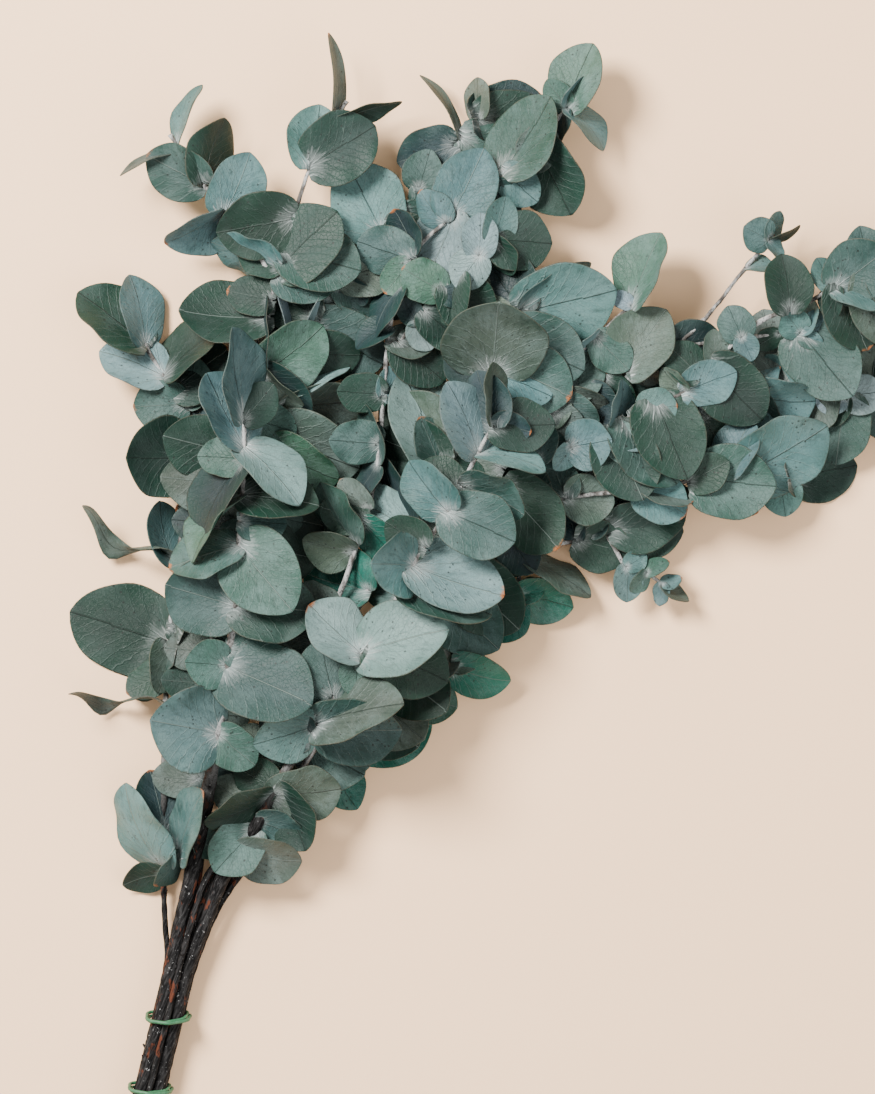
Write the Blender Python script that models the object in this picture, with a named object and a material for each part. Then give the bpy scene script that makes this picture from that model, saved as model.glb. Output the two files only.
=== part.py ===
"""A tied bunch of preserved silver-dollar eucalyptus stems, lying flat.

Metres, +Z up. The tables are in millimetres: X to the right, Y from the cut ends
to the tips, Z up from the surface that the bunch lies on.
"""

import math
import random

import bmesh
import bpy
from mathutils import Matrix, Vector
from mathutils.bvhtree import BVHTree

MM = 0.001

# Driving dimensions, in millimetres
THIN_STEM_RADIUS = 1.65
TIP_RADIUS = 1.15
TWIG_RADIUS = 1.25
TAPER = 1.8
ROOT_DEPTH = 4.0
BLADE_THICKNESS = 0.8
BLADE_CLEARANCE = 0.6
FLOOR_CLEARANCE = 1.0
BAND_STRAND_RADIUS = 1.0
BAND_GAP = 0.3
BAND_CROSSING = 75.0
BUNDLE_HEIGHT = 12.7
CENTRE_SHIFT = (4.0, 3.8)

# The blade's rows of points, as shares of its length from the stem to the tip
BIG_ROWS = (0.0, 0.2, 0.5, 0.8, 1.0)
SMALL_ROWS = (0.0, 0.3, 0.7, 1.0)
SMALL_LENGTH = 50.0
LEAST_LENGTH = 23.0
NATURAL_RATIO = 0.90
REST_BEND = 0.2
WIDER = 1.06
NARROWEST = 2.3

# The bare stems run straight through the bands, from the cut ends to the fan
BUNDLE_LINE = ((-216.5, -314.0), (-207.6, -280.0), (-197.7, -240.0), (-190.5, -210.0))
BUNDLE_FLARE = (1.12, 1.0, 1.0, 1.08)

# Place of each stem in the tied section (across, up) and its radius there
SLOTS = {
    "stem_left_front": (-4.3, 1.5, 4.2),
    "stem_centre_low": (4.4, 1.0, 4.1),
    "stem_left_side": (-7.3, -5.0, THIN_STEM_RADIUS),
    "stem_upper_left": (-3.65, -5.0, THIN_STEM_RADIUS),
    "stem_top_middle": (0.0, -5.0, THIN_STEM_RADIUS),
    "stem_centre_round": (3.65, -5.0, THIN_STEM_RADIUS),
    "stem_front_centre": (7.3, -5.0, THIN_STEM_RADIUS),
    "stem_right_upper": (-1.83, -8.2, THIN_STEM_RADIUS),
    "stem_right_lower": (1.83, -8.2, THIN_STEM_RADIUS),
    "stem_low_right": (5.5, -8.2, THIN_STEM_RADIUS),
    "stem_top_right": (0.0, 6.3, THIN_STEM_RADIUS),
}

# Route of each stem past the bundle, and of the twigs that grow from it
ROUTES = {
    "stem_left_front": (
        (-189, -180, 16), (-184, -160, 19), (-176, -120, 27), (-169, -80, 35), (-164, -42, 41),
        (-159, -9, 44), (-157, 25, 46), (-155, 53, 47), (-154, 80, 48), (-154, 99, 48),
    ),
    "stem_upper_left": (
        (-190, -185, 8), (-187, -160, 9), (-182, -120, 13), (-176, -60, 18), (-170, 0, 22),
        (-163, 60, 24), (-152, 100, 26), (-144, 122, 27), (-141, 153, 27), (-135, 180, 27),
        (-127, 208, 26), (-117, 238, 25), (-104, 262, 24), (-97, 274, 24),
    ),
    "stem_left_side": (
        (-199, -190, 8), (-200, -165, 9), (-200, -120, 11), (-199, -66, 13), (-197, -30, 13),
        (-193, 14, 15), (-186, 50, 17), (-184, 80, 18), (-188, 104, 18), (-200, 120, 17),
        (-212, 141, 16),
    ),
    "stem_top_middle": (
        (-185, -185, 8), (-180, -160, 9), (-173, -110, 12), (-165, -40, 15), (-150, 30, 17),
        (-138, 80, 18), (-126, 130, 19), (-115, 152, 19), (-100, 175, 19), (-77, 200, 18),
        (-56, 225.5, 16), (-37, 249, 14), (-21, 268, 12),
    ),
    "stem_top_right": (
        (-187, -196, 19.3), (-182.3, -180, 20), (-175, -160, 21), (-150, -120, 24),
        (-125, -60, 26), (-100, 0, 27), (-84, 50, 28), (-79, 74, 28), (-76.5, 110, 28),
        (-72.7, 149, 28), (-68, 165, 28), (-60, 188, 28), (-37.5, 210, 28), (-9.5, 235, 27),
        (20, 263, 25), (29, 273, 24),
    ),
    "stem_centre_round": (
        (-181, -185, 8.5), (-170, -160, 11.5), (-149, -120, 15.5), (-115, -60, 18), (-85, 0, 21),
        (-60, 35, 25), (-44, 67, 29), (-30, 98, 30), (-16, 121, 30), (-2, 150, 29),
        (1.5, 160, 29),
    ),
    "stem_front_centre": (
        (-170, -180, 9.5), (-157, -160, 12), (-143, -137, 18), (-133, -120, 24),
        (-119, -95, 32), (-96, -60, 42), (-80, -28, 48), (-60, 14, 52), (-40.5, 44, 55),
        (-24, 76, 56), (-13, 95, 55),
    ),
    "stem_centre_low": (
        (-174, -180, 15), (-166, -160, 19), (-151, -137, 24), (-133, -104, 32),
        (-114, -75, 38), (-101, -54, 42), (-87, -32, 46),
    ),
    "stem_low_right": (
        (-172.5, -180, 5), (-159.5, -160, 6), (-143, -137, 8), (-126, -115, 10), (-112, -98, 12),
        (-95, -82, 13), (-66, -56, 14), (-37, -43, 15), (-14, -20, 15), (-3, -4, 15),
        (2, 18, 15), (11.5, 24, 15), (32.5, 28, 15), (55, 35.6, 13),
    ),
    "stem_right_upper": (
        (-183.5, -182, 4.5), (-171, -160, 5), (-140, -120, 9), (-104, -60, 16),
        (-70, -10, 22), (-38, 33, 25), (-12, 55, 27), (6, 71, 30), (28, 80, 32), (52, 90, 34),
        (67, 101, 35), (92, 111, 36), (109, 128, 35), (134, 150, 33), (157, 159, 31),
        (176, 169, 29), (205, 182, 26),
    ),
    "stem_right_lower": (
        (-178.5, -182, 4.5), (-165.5, -160, 5), (-134, -118, 8), (-92, -58, 13), (-58, -15, 16),
        (-20, 24, 19), (8, 44, 21), (26.5, 52, 23), (44, 60.6, 22), (63, 67, 21),
        (84, 85, 20), (105, 100, 19), (127, 109, 18), (164, 116, 16), (182.5, 108, 15),
        (212, 104, 13), (226, 100, 12),
    ),
}
TWIGS = {
    "stem_upper_left": (
        ((-137, 172, 27), (-150, 193, 29), (-165, 211, 29), (-177, 227, 28), (-196, 255, 24)),
    ),
    "stem_left_side": (((-200, -168, 9), (-196, -155, 12), (-190, -147, 15), (-183, -135, 18)),),
    "stem_top_right": (
        ((-74.5, 131, 28), (-58, 150, 31), (-44, 167, 34), (-23, 187, 35), (-12, 199, 34)),
    ),
    "stem_low_right": (((47, 33, 13.6), (53, 24, 15), (60, 13, 16), (71, 9.5, 16), (83, 1, 15)),),
    "stem_right_upper": (
        (
            (-23, 46, 26), (-8, 72, 25), (14, 96, 24), (29, 110, 24), (59, 123, 25),
            (84, 135, 26), (112, 139, 25), (147, 144, 23), (161, 144, 22),
        ),
        ((84, 135, 26), (102, 150, 28), (126, 180, 29), (142, 199, 26)),
        ((20, 102, 24), (22, 116, 25), (31, 130, 26), (45, 144, 27), (65, 162, 27)),
    ),
    "stem_right_lower": (
        (
            (26.5, 52, 23), (48.5, 54.6, 27), (68, 57.6, 29), (94.5, 61, 29), (117, 65, 25),
            (146, 63.6, 18), (157, 63, 14),
        ),
    ),
}

# Leaves as seen from above: base x, y, tip x, y, seen width, tone, layer from 1 at the back
# to 5 at the front. The tones are silver, pale, grey, light, dark, blue, teal and olive.
LEAVES = {
    "stem_left_front": (
        (-169, -80, -206, -72, 46, "G", 4), (-169, -80, -148, -98, 24, "G", 3),
        (-164, -42, -187, -40, 27, "G", 3), (-164, -42, -116, -64, 42, "G", 5),
        (-159, -9, -198, 3, 42, "G", 4), (-159, -9, -113, -12, 38, "D", 3),
        (-157, 25, -127, -12, 42, "G", 5), (-157, 25, -196, 12, 24, "G", 3),
        (-155, 53, -112, 47, 28, "G", 4), (-155, 53, -183, 15, 14, "L", 3),
        (-154, 73, -178, 29, 24, "B", 3), (-154, 80, -175, 121, 27, "L", 4),
        (-154, 80, -123, 47, 26, "S", 5), (-154, 99, -160, 146, 22, "G", 5),
    ),
    "stem_upper_left": (
        (-144, 122, -142, 165, 14, "B", 3), (-144, 122, -110, 148, 30, "L", 3),
        (-144, 122, -121, 103, 12, "O", 4), (-144, 122, -117, 98, 22, "B", 2),
        (-141, 153, -191, 157, 34, "D", 3), (-135, 180, -102, 212, 38, "G", 4),
        (-135, 180, -173, 195, 20, "P", 1), (-135, 180, -158, 190, 16, "D", 1),
        (-127, 208, -170, 200, 34, "D", 4), (-127, 208, -112, 206, 14, "G", 1),
        (-117, 238, -81, 260, 38, "G", 4), (-117, 238, -112, 272, 30, "P", 2),
        (-104, 262, -107, 312, 7, "O", 4), (-104, 262, -66, 273, 8, "D", 4),
        (-165, 211, -199, 194, 18, "P", 3), (-165, 211, -151, 245, 30, "P", 2),
        (-177, 227, -165, 264, 23, "D", 4), (-177, 227, -209, 244, 28, "G", 2),
        (-192, 249, -178, 283, 8, "P", 3), (-190, 247, -224, 232, 5, "O", 4),
    ),
    "stem_left_side": (
        (-200, -160, -223, -166, 16, "D", 2), (-203, -136, -208, -101, 28, "B", 2),
        (-199, -66, -254, -62, 13, "O", 3), (-198, -45, -221, -58, 20, "D", 1),
        (-197, -30, -253, -12, 48, "D", 1), (-197, -30, -203, -58, 20, "O", 3),
        (-193, 14, -248, 42, 16, "O", 3), (-193, 14, -202, 50, 16, "P", 2),
        (-184, 74, -220, 74, 44, "D", 3), (-184, 80, -176, 110, 22, "B", 2),
        (-188, 104, -217, 103, 28, "G", 2), (-188, 104, -182, 131, 26, "G", 2),
        (-200, 120, -236, 134, 27, "S", 2), (-200, 120, -165, 150, 17, "D", 3),
        (-212, 141, -248, 167, 30, "D", 3), (-212, 141, -219, 177, 22, "P", 2),
        (-192, -150, -177, -112, 19, "O", 4), (-190, -147, -205, -166, 10, "G", 3),
        (-213, -156, -221, -108, 25, "P", 3), (-183, -135, -164, -122, 14, "O", 4),
    ),
    "stem_top_middle": (
        (-124, 134, -134, 172, 14, "S", 2), (-124, 134, -89, 132, 28, "D", 2),
        (-120, 145, -108, 170, 12, "S", 3), (-100, 175, -70, 183, 28, "O", 3),
        (-100, 175, -86, 160, 14, "B", 2), (-77, 200, -97, 240, 40, "P", 2),
        (-56, 225, -50, 247, 22, "G", 3), (-56, 225, -50, 212, 12, "B", 2),
        (-37, 249, -69, 240, 28, "B", 2), (-33, 253, -56, 289, 5, "O", 3),
        (-21, 268, 14, 276, 26, "B", 3), (-21, 268, -24, 288, 14, "O", 1),
        (-130, 110, -95, 127, 18, "S", 4), (-132, 100, -81, 106, 16, "O", 3),
        (-136, 88, -90, 68, 40, "O", 3), (-138, 80, -101, 62, 26, "L", 4),
        (-132, 100, -108, 114, 20, "D", 2),
    ),
    "stem_top_right": (
        (-80, 70, -88, 104, 14, "G", 2), (-80, 70, -92, 52, 12, "B", 1),
        (-76.5, 108, -64, 126, 16, "P", 2), (-74, 140, -48, 136, 18, "O", 3),
        (-73, 148, -92, 135, 14, "B", 2), (-66, 171, -82, 140, 13, "B", 3),
        (-62, 183, -76, 166, 18, "L", 3), (-60, 188, -71, 213, 17, "B", 3),
        (-37.5, 210, -53, 174, 33, "S", 5), (-37.5, 210, -20, 247, 34, "P", 4),
        (-42, 206, -56, 224, 18, "P", 3), (-9.5, 235, 17, 276, 34, "G", 5),
        (-9.5, 235, 10, 217, 22, "P", 4), (14, 257, 5, 233, 22, "O", 3),
        (17, 243, 29, 210, 33, "D", 2), (29, 273, 41, 306, 27, "L", 4),
        (29, 273, 15, 286, 16, "L", 3), (26, 269, 18, 248, 12, "B", 2),
        (29, 273, 47, 246, 14, "P", 3), (29, 273, 40, 288, 12, "S", 5),
        (-58, 150, -50, 134, 18, "P", 4), (-58, 150, -66, 163, 14, "B", 3),
        (-44, 167, -66, 180, 24, "L", 4), (-44, 167, -29, 162, 14, "B", 3),
        (-23, 187, -22, 211, 20, "S", 5), (-23, 187, -36, 169, 22, "S", 5),
        (-12, 199, -8, 220, 18, "L", 4), (-12, 199, -4, 176, 16, "D", 2),
        (-9, 194, 18, 194, 33, "D", 1), (-34, 177, -40, 147, 20, "D", 2),
        (-92, 25, -112, 60, 20, "G", 2), (-93, 22, -122, 28, 20, "O", 2),
        (-86, 45, -101, 62, 16, "O", 3), (-88, 38, -66, 18, 18, "T", 2),
    ),
    "stem_centre_round": (
        (-44, 67, -66, 122, 40, "S", 2), (-44, 67, -56, 97, 22, "G", 3),
        (-16, 121, -12, 160, 56, "G", 4), (-16, 121, 18, 108, 28, "P", 3),
        (1.5, 160, 54, 168, 42, "G", 4), (1.5, 160, 40, 183, 14, "P", 1),
        (-60, 35, -78, 76, 20, "B", 4), (-60, 35, -93, 52, 28, "S", 3),
        (-60, 35, -38, 28, 22, "O", 2), (-85, 0, -121, 10, 24, "T", 2),
        (-85, 0, -94, 24, 16, "T", 2),
    ),
    "stem_front_centre": (
        (-66, 2, -16, -14, 30, "G", 3), (-60, 14, -83, 15, 38, "G", 4),
        (-60, 14, -9, -3, 36, "S", 3), (-40.5, 44, -62, 72, 26, "G", 4),
        (-40.5, 44, -3, 27, 36, "G", 5), (-33, 58, 2, 42, 28, "G", 3),
        (-24, 76, -41, 116, 27, "P", 5), (-24, 76, 14, 66, 14, "G", 5),
        (-13, 95, -15, 127, 12, "O", 5), (-13, 95, 6, 88, 18, "B", 4),
    ),
    "stem_centre_low": (
        (-163, -127, -171, -158, 29, "P", 5), (-158, -145, -122, -152, 25, "O", 4),
        (-139, -115, -177, -130, 20, "D", 4), (-139, -115, -100, -111, 30, "O", 4),
        (-137, -110, -120, -146, 20, "D", 2), (-116, -74, -149, -86, 27, "P", 4),
        (-118, -82, -146, -72, 24, "B", 2), (-114, -75, -65, -63, 29, "O", 5),
        (-114, -75, -66, -78, 28, "G", 4), (-104, -60, -112, -27, 32, "G", 3),
        (-88, -34, -40, -22, 38, "S", 5), (-88, -34, -118, -8, 30, "S", 4),
        (-90, -38, -92, -60, 18, "G", 3), (-152, -127, -121, -139, 22, "G", 2),
    ),
    "stem_low_right": (
        (-108, -93, -91, -123, 24, "T", 2), (-95, -82, -49, -74, 40, "T", 1),
        (-66, -56, -35, -66, 28, "L", 2), (-66, -56, -33, -33, 22, "O", 2),
        (-37, -43, -5, -51, 24, "T", 3), (-37, -43, -20, -32, 16, "O", 2),
        (-3, -4, -16, -29, 28, "T", 3), (-3, -4, 30, -10, 25, "T", 2),
        (-3, -4, 14, 4, 14, "T", 1), (2, 18, 40, -4, 14, "O", 2),
        (2, 18, -18, 12, 14, "D", 3), (32.5, 28, 63, 20, 28, "D", 2),
        (32.5, 28, 27, 44, 12, "B", 2), (40, 30, 48, 42, 12, "B", 2),
        (55, 35.6, 92, 33, 32, "D", 2), (60, 13, 60, -7, 16, "P", 3),
        (60, 13, 71, 20, 12, "P", 2), (71, 9.5, 62, -1, 9, "L", 4),
        (71, 9.5, 84, 16, 9, "L", 3), (83, 1, 78, -9, 9, "P", 3),
        (83, 1, 91, 7, 8, "P", 3), (83, 1, 95, -6, 8, "O", 2),
    ),
    "stem_right_upper": (
        (29, 110, 40, 133, 26, "G", 3), (29, 110, 50, 103, 14, "O", 3),
        (24, 106, 12, 90, 16, "O", 2), (59, 123, 82, 157, 34, "O", 4),
        (62, 124, 79, 117, 12, "O", 3), (84, 135, 112, 143, 25, "B", 3),
        (161, 144, 148, 156, 18, "P", 4), (161, 144, 178, 150, 20, "P", 3),
        (161, 144, 164, 163, 12, "P", 3), (161, 144, 169, 132, 14, "P", 3),
        (145, 143.8, 132, 136, 12, "D", 1), (126, 180, 145, 178, 8, "P", 3),
        (142, 199, 125, 203, 20, "P", 4), (142, 199, 146, 212, 9, "P", 3),
        (142, 199, 157, 204, 5, "D", 4), (142, 199, 147, 185, 8, "P", 3),
        (45, 144, 30, 134, 8, "S", 3), (65, 162, 79, 200, 24, "L", 4),
        (65, 162, 52, 166, 10, "S", 2), (10, 73, 16, 94, 18, "G", 2),
        (28, 80, 51, 84, 28, "P", 4), (28, 80, 19, 67, 12, "O", 4),
        (52, 90, 66, 70, 20, "S", 4), (52, 90, 72, 80, 15, "S", 5),
        (52, 90, 57, 118, 12, "P", 3), (67, 101, 88, 103, 22, "P", 5),
        (92, 111, 121, 122, 24, "P", 4), (92, 111, 79, 124, 12, "O", 3),
        (109, 128, 108, 146, 14, "O", 3), (124, 141, 116, 159, 20, "G", 3),
        (124, 141, 130, 128, 14, "P", 4), (151, 156, 146, 188, 26, "D", 3),
        (176, 169, 205, 190, 34, "G", 4), (176, 169, 208, 160, 22, "P", 3),
        (176, 169, 174, 151, 14, "D", 2), (176, 169, 166, 186, 16, "P", 3),
        (196, 178, 190, 204, 22, "G", 3), (205, 182, 240, 192, 28, "G", 4),
        (205, 182, 224, 208, 18, "L", 3), (205, 182, 228, 168, 16, "D", 2),
    ),
    "stem_right_lower": (
        (0, 38, 4, 20, 18, "D", 1), (10, 45, -10, 56, 16, "O", 2),
        (26.5, 52, 53, 49, 27, "O", 4), (63, 67, 64, 53, 8, "S", 4),
        (63, 67, 80, 92, 16, "G", 3), (84, 85, 96, 98, 22, "D", 2),
        (127, 109, 166, 106, 30, "P", 3), (127, 109, 146, 126, 16, "P", 2),
        (150, 113, 138, 132, 14, "P", 3), (163, 116, 186, 128, 24, "P", 4),
        (182.5, 108, 166, 104, 16, "S", 5), (182.5, 108, 205, 112, 22, "S", 4),
        (182.5, 108, 172, 92, 14, "D", 1), (182.5, 108, 190, 140, 16, "G", 2),
        (212, 104, 208, 128, 18, "P", 3), (200, 105, 206, 84, 20, "G", 3),
        (212, 104, 238, 118, 22, "G", 4), (212, 104, 230, 82, 20, "D", 2),
        (226, 100, 246, 97, 20, "P", 4), (68, 57.6, 93, 42, 27, "P", 4),
        (68, 57.6, 97, 50, 14, "O", 5), (62, 56.7, 50, 66, 12, "P", 4),
        (94.5, 61, 117, 72, 22, "D", 5), (100, 62, 143, 58, 40, "G", 4),
        (117, 65, 130, 96, 22, "P", 3), (125, 64.6, 172, 92, 36, "G", 5),
        (112, 64, 133, 43, 24, "D", 2), (146, 63.6, 149, 41, 22, "P", 2),
        (157, 63, 190, 70, 32, "D", 1),
    ),
}

# Leaves that bend down from their stem and lie on the surface, by base and tip
RESTING = (
    (-197, -30, -253, -12),
    (-95, -82, -49, -74),
    (-21, 268, 14, 276),
    (157, 63, 190, 70),
)

# Outline of the foliage as seen from above. Leaves of the back layer fill the gaps inside it.
OUTLINE = (
    (-223, -168), (-230, -140), (-223, -106), (-204, -99), (-206, -72), (-203, -50), (-196, -2),
    (-200, 9), (-189, 14), (-206, 38), (-197, 52), (-217, 74), (-201, 90), (-214, 108),
    (-192, 119), (-224, 124), (-236, 140), (-241, 166), (-212, 150), (-202, 146), (-190, 158),
    (-170, 174), (-150, 178), (-160, 178), (-173, 192), (-198, 194), (-188, 208), (-172, 216),
    (-184, 226), (-208, 244), (-180, 247), (-166, 263), (-154, 251), (-144, 242), (-141, 225),
    (-127, 221), (-122, 211), (-106, 211), (-108, 226), (-118, 240), (-132, 255), (-126, 269),
    (-112, 272), (-82, 259), (-85, 242), (-77, 236), (-66, 215), (-58, 225), (-69, 241),
    (-67, 253), (-50, 263), (-37, 256), (-36, 247), (-22, 250), (-17, 262), (-26, 276),
    (-10, 282), (10, 277), (22, 288), (38, 305), (46, 290), (46, 250), (26, 252), (17, 242),
    (29, 244), (38, 228), (34, 212), (10, 210), (18, 200), (8, 181), (20, 184), (40, 183),
    (54, 168), (48, 147), (82, 157), (84, 150), (100, 150), (112, 143), (118, 156), (131, 152),
    (134, 170), (146, 186), (158, 172), (160, 160), (172, 158), (169, 182), (178, 196),
    (240, 198), (240, 100), (200, 96), (190, 70), (168, 47), (157, 54), (150, 42), (118, 38),
    (100, 50), (90, 32), (72, 20), (60, 21), (48, 9), (26, 10), (22, 20), (12, 4), (28, -9),
    (0, -30), (-6, -50), (-34, -50), (-34, -65), (-56, -90), (-78, -98), (-92, -121),
    (-104, -112), (-120, -130), (-122, -152), (-136, -159), (-190, -161), (-205, -169),
)
# Openings inside the outline where the surface is seen: centre x, y and radius
OPENINGS = ((-62, 131, 8), (-94, 128, 5), (-96, 162, 5), (-128, 173, 4), (40, 137, 4), (21, 108, 4))
GAP_STEP = 21.0
GAP_REACH = 52.0
GAP_OVERSHOOT = 13.0
LONGEST_FILL = 46.0
SHORTEST_FILL = 26.0
FILL_TONES = "DGOGDBGDOG"

LEAF_COLOURS = {
    "stem_left_front": (0.155, 0.222, 0.178),
    "stem_upper_left": (0.120, 0.185, 0.150),
    "stem_left_side": (0.098, 0.150, 0.128),
    "stem_top_middle": (0.138, 0.200, 0.175),
    "stem_top_right": (0.185, 0.262, 0.225),
    "stem_centre_round": (0.165, 0.235, 0.205),
    "stem_front_centre": (0.175, 0.240, 0.200),
    "stem_centre_low": (0.180, 0.235, 0.200),
    "stem_low_right": (0.082, 0.230, 0.185),
    "stem_right_upper": (0.190, 0.255, 0.215),
    "stem_right_lower": (0.150, 0.205, 0.175),
}
BAND_COLOUR = (0.115, 0.380, 0.175)


def clear_scene():
    for obj in list(bpy.data.objects):
        bpy.data.objects.remove(obj)


def material(name, colour, roughness):
    """A plain Principled surface in the piece's colour."""
    made = bpy.data.materials.new(name)
    made.use_nodes = True
    shader = made.node_tree.nodes["Principled BSDF"]
    shader.inputs["Base Color"].default_value = (*colour, 1.0)
    shader.inputs["Roughness"].default_value = roughness
    shader.inputs["Metallic"].default_value = 0.0
    return made


# Routes


def bundle_frame(index):
    """Centre of the tied section at one station, and the level direction across it."""
    centre = Vector((*BUNDLE_LINE[index], BUNDLE_HEIGHT))
    before = Vector(BUNDLE_LINE[max(index - 1, 0)])
    after = Vector(BUNDLE_LINE[min(index + 1, len(BUNDLE_LINE) - 1)])
    along = (after - before).normalized()
    return centre, Vector((along.y, -along.x, 0.0))


def stem_route(name):
    """All points of a stem, from its cut end through the bands to its tip."""
    side, up, _ = SLOTS[name]
    route = []
    for index, flare in enumerate(BUNDLE_FLARE):
        centre, across = bundle_frame(index)
        route.append(centre + across * side * flare + Vector((0, 0, up)))
    cut = random.Random(name).uniform(-5.0, 5.0)
    route[0] = route[0] + (route[1] - route[0]).normalized() * cut
    return route + [Vector(point) for point in ROUTES[name]]


def all_routes(name):
    """The stem's own route, then one for each of its twigs."""
    return [stem_route(name)] + [[Vector(point) for point in twig] for twig in TWIGS.get(name, ())]


def route_radii(route, thick, thin, straight):
    """Radius at each point: constant for the first few, then a taper that slows to the tip."""
    lengths = [0.0]
    for before, after in zip(route[straight:], route[straight + 1:]):
        lengths.append(lengths[-1] + (after - before).length)
    taper = [thin + (thick - thin) * (1 - length / lengths[-1]) ** TAPER for length in lengths]
    return [thick] * straight + taper


def nearest_on_route(routes, x, y):
    """The point of any of the routes that is nearest to x, y as seen from above."""
    best = None
    for route in routes:
        for start, end in zip(route, route[1:]):
            run = end - start
            flat = Vector((run.x, run.y))
            share = flat.dot(Vector((x - start.x, y - start.y))) / flat.length_squared
            furthest = 1.0 - ROOT_DEPTH / run.length if end is route[-1] else 1.0
            point = start + run * min(max(share, 0.0), furthest)
            gap = math.hypot(point.x - x, point.y - y)
            if best is None or gap < best[0]:
                best = (gap, point)
    return best[1]


# Leaf blades


def width_share(along):
    """Half width of a blade, as a share of its widest half: round base, ovate, short point."""
    along = min(max(along, 0.0), 1.0)
    return max(math.sin(math.pi * along**0.86), 0.0) ** 0.72


class Leaf:
    """One leaf: where its root and tip are, its size and its bends, all in millimetres."""

    def __init__(self, row, root, number):
        draw = random.Random(number)
        base_x, base_y, tip_x, tip_y, seen_width, self.tone, self.layer = row
        seen_width *= WIDER
        self.base = Vector((base_x, base_y))
        self.tip = Vector((tip_x, tip_y))
        self.rests = (base_x, base_y, tip_x, tip_y) in RESTING
        self.root = root
        self.seen_length = math.hypot(tip_x - root.x, tip_y - root.y)
        self.heading = math.atan2(tip_y - root.y, tip_x - root.x)
        ratio = NATURAL_RATIO + draw.uniform(-0.06, 0.06)
        natural = min(ratio * self.seen_length, NARROWEST * seen_width)
        self.width = max(natural, min(seen_width, 1.6 * self.seen_length))
        length = max(self.seen_length, self.width / 1.15)
        facing_up = 1 if self.layer >= 3 else -1
        self.first_pitch = facing_up * math.degrees(math.acos(self.seen_length / length))
        self.first_pitch += 3.0 * (self.layer - 2.6)
        share = min(max(seen_width / self.width, 0.30), 1.0)
        self.first_roll = math.degrees(math.acos(share)) * draw.choice((-1, 1))
        self.fold = draw.uniform(0.10, 0.28)
        self.arch = draw.uniform(0.02, 0.10) * draw.choice((-1, 1, 1))
        self.twist = math.radians(draw.uniform(-14, 14))
        self.plain = self.layer < 2
        if self.rests or self.plain:
            self.fold = self.arch = self.twist = 0.0
        self.shrink = 1.0
        self.pose(self.first_pitch, self.first_roll, 0.0)

    def pose(self, pitch, roll, lift):
        """Tilts the leaf: pitch raises its tip, roll leans it over its midrib."""
        self.pitch, self.roll, self.lift = pitch, roll, lift
        self.length = self.shrink * self.seen_length / math.cos(math.radians(pitch))
        start = self.root + Vector((0, 0, lift))
        turn = Matrix.Rotation(self.heading - math.pi / 2, 4, "Z")
        tilt = Matrix.Rotation(math.radians(pitch), 4, "X")
        lean = Matrix.Rotation(math.radians(roll), 4, "Y")
        self.matrix = Matrix.Translation(start) @ turn @ tilt @ lean

    def point(self, across, along, margin=0.0):
        """Point of the blade's underside. across runs from -1 to 1, along from root to tip."""
        half = self.shrink * self.width / 2 * width_share(along) + margin * math.sin(math.pi * along)
        side = across * half
        if self.rests:
            drop = max(1 - along / REST_BEND, 0.0) ** 1.5
            flat = Matrix.Rotation(self.heading - math.pi / 2, 4, "Z")
            spot = flat @ Vector((side, along * self.seen_length, 0.0))
            return Vector((self.root.x + spot.x, self.root.y + spot.y, self.root.z * drop))
        rise = self.fold * abs(side) + 4 * self.arch * self.length * along * (1 - along)
        turned = self.twist * (along - 0.4)
        x = side * math.cos(turned) - rise * math.sin(turned)
        z = side * math.sin(turned) + rise * math.cos(turned)
        return self.matrix @ Vector((x, along * self.length, z))


def blade_solid(leaf, margin=0.0):
    """A thin closed blade of few faces. margin swells it on all sides for a clearance test."""
    rows = BIG_ROWS if leaf.seen_length > SMALL_LENGTH else SMALL_ROWS
    halves = 1 if leaf.plain else 2
    bm = bmesh.new()
    bmesh.ops.create_grid(bm, x_segments=halves, y_segments=len(rows) - 1, size=1.0)
    for vert in bm.verts:
        row = round((vert.co.y + 1) / 2 * (len(rows) - 1))
        vert.co = leaf.point(round(vert.co.x), rows[row], margin)
    bmesh.ops.remove_doubles(bm, verts=bm.verts, dist=0.02)
    bmesh.ops.triangulate(bm, faces=bm.faces, quad_method="FIXED")
    bm.normal_update()
    for vert in bm.verts:
        vert.co -= vert.normal * margin
    thickness = BLADE_THICKNESS + 2 * margin
    bmesh.ops.solidify(bm, geom=bm.faces[:], thickness=-thickness)
    bmesh.ops.recalc_face_normals(bm, faces=bm.faces)
    return bm


# Finding each leaf a clear place


class Placed:
    """Solids that already have their place, with the boxes that they fill."""

    def __init__(self):
        self.items = []

    def add(self, owner, bm):
        tree = BVHTree.FromBMesh(bm)
        low, high = box_of(bm)
        self.items.append((owner, tree, low, high))

    def near(self, low, high):
        for owner, tree, other_low, other_high in self.items:
            if all(other_low[i] < high[i] and low[i] < other_high[i] for i in range(3)):
                yield owner, tree

    def above(self, points, low, high):
        """How many of the points have a placed leaf over them."""
        high = (high[0], high[1], math.inf)
        trees = [tree for _, tree in self.near(low, high)]
        up = Vector((0, 0, 1))
        return sum(any(tree.ray_cast(spot, up)[0] for tree in trees) for spot in points)


    def covers(self, x, y):
        """True where a placed leaf hides the surface at this place, as seen from above."""
        start, down = Vector((x, y, 200.0)), Vector((0, 0, -1))
        found = self.near((x - 0.5, y - 0.5, 0.0), (x + 0.5, y + 0.5, 200.0))
        return any(tree.ray_cast(start, down)[0] for _, tree in found)


def box_of(bm):
    spots = [vert.co for vert in bm.verts]
    low = tuple(min(spot[i] for spot in spots) for i in range(3))
    high = tuple(max(spot[i] for spot in spots) for i in range(3))
    return low, high


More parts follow.
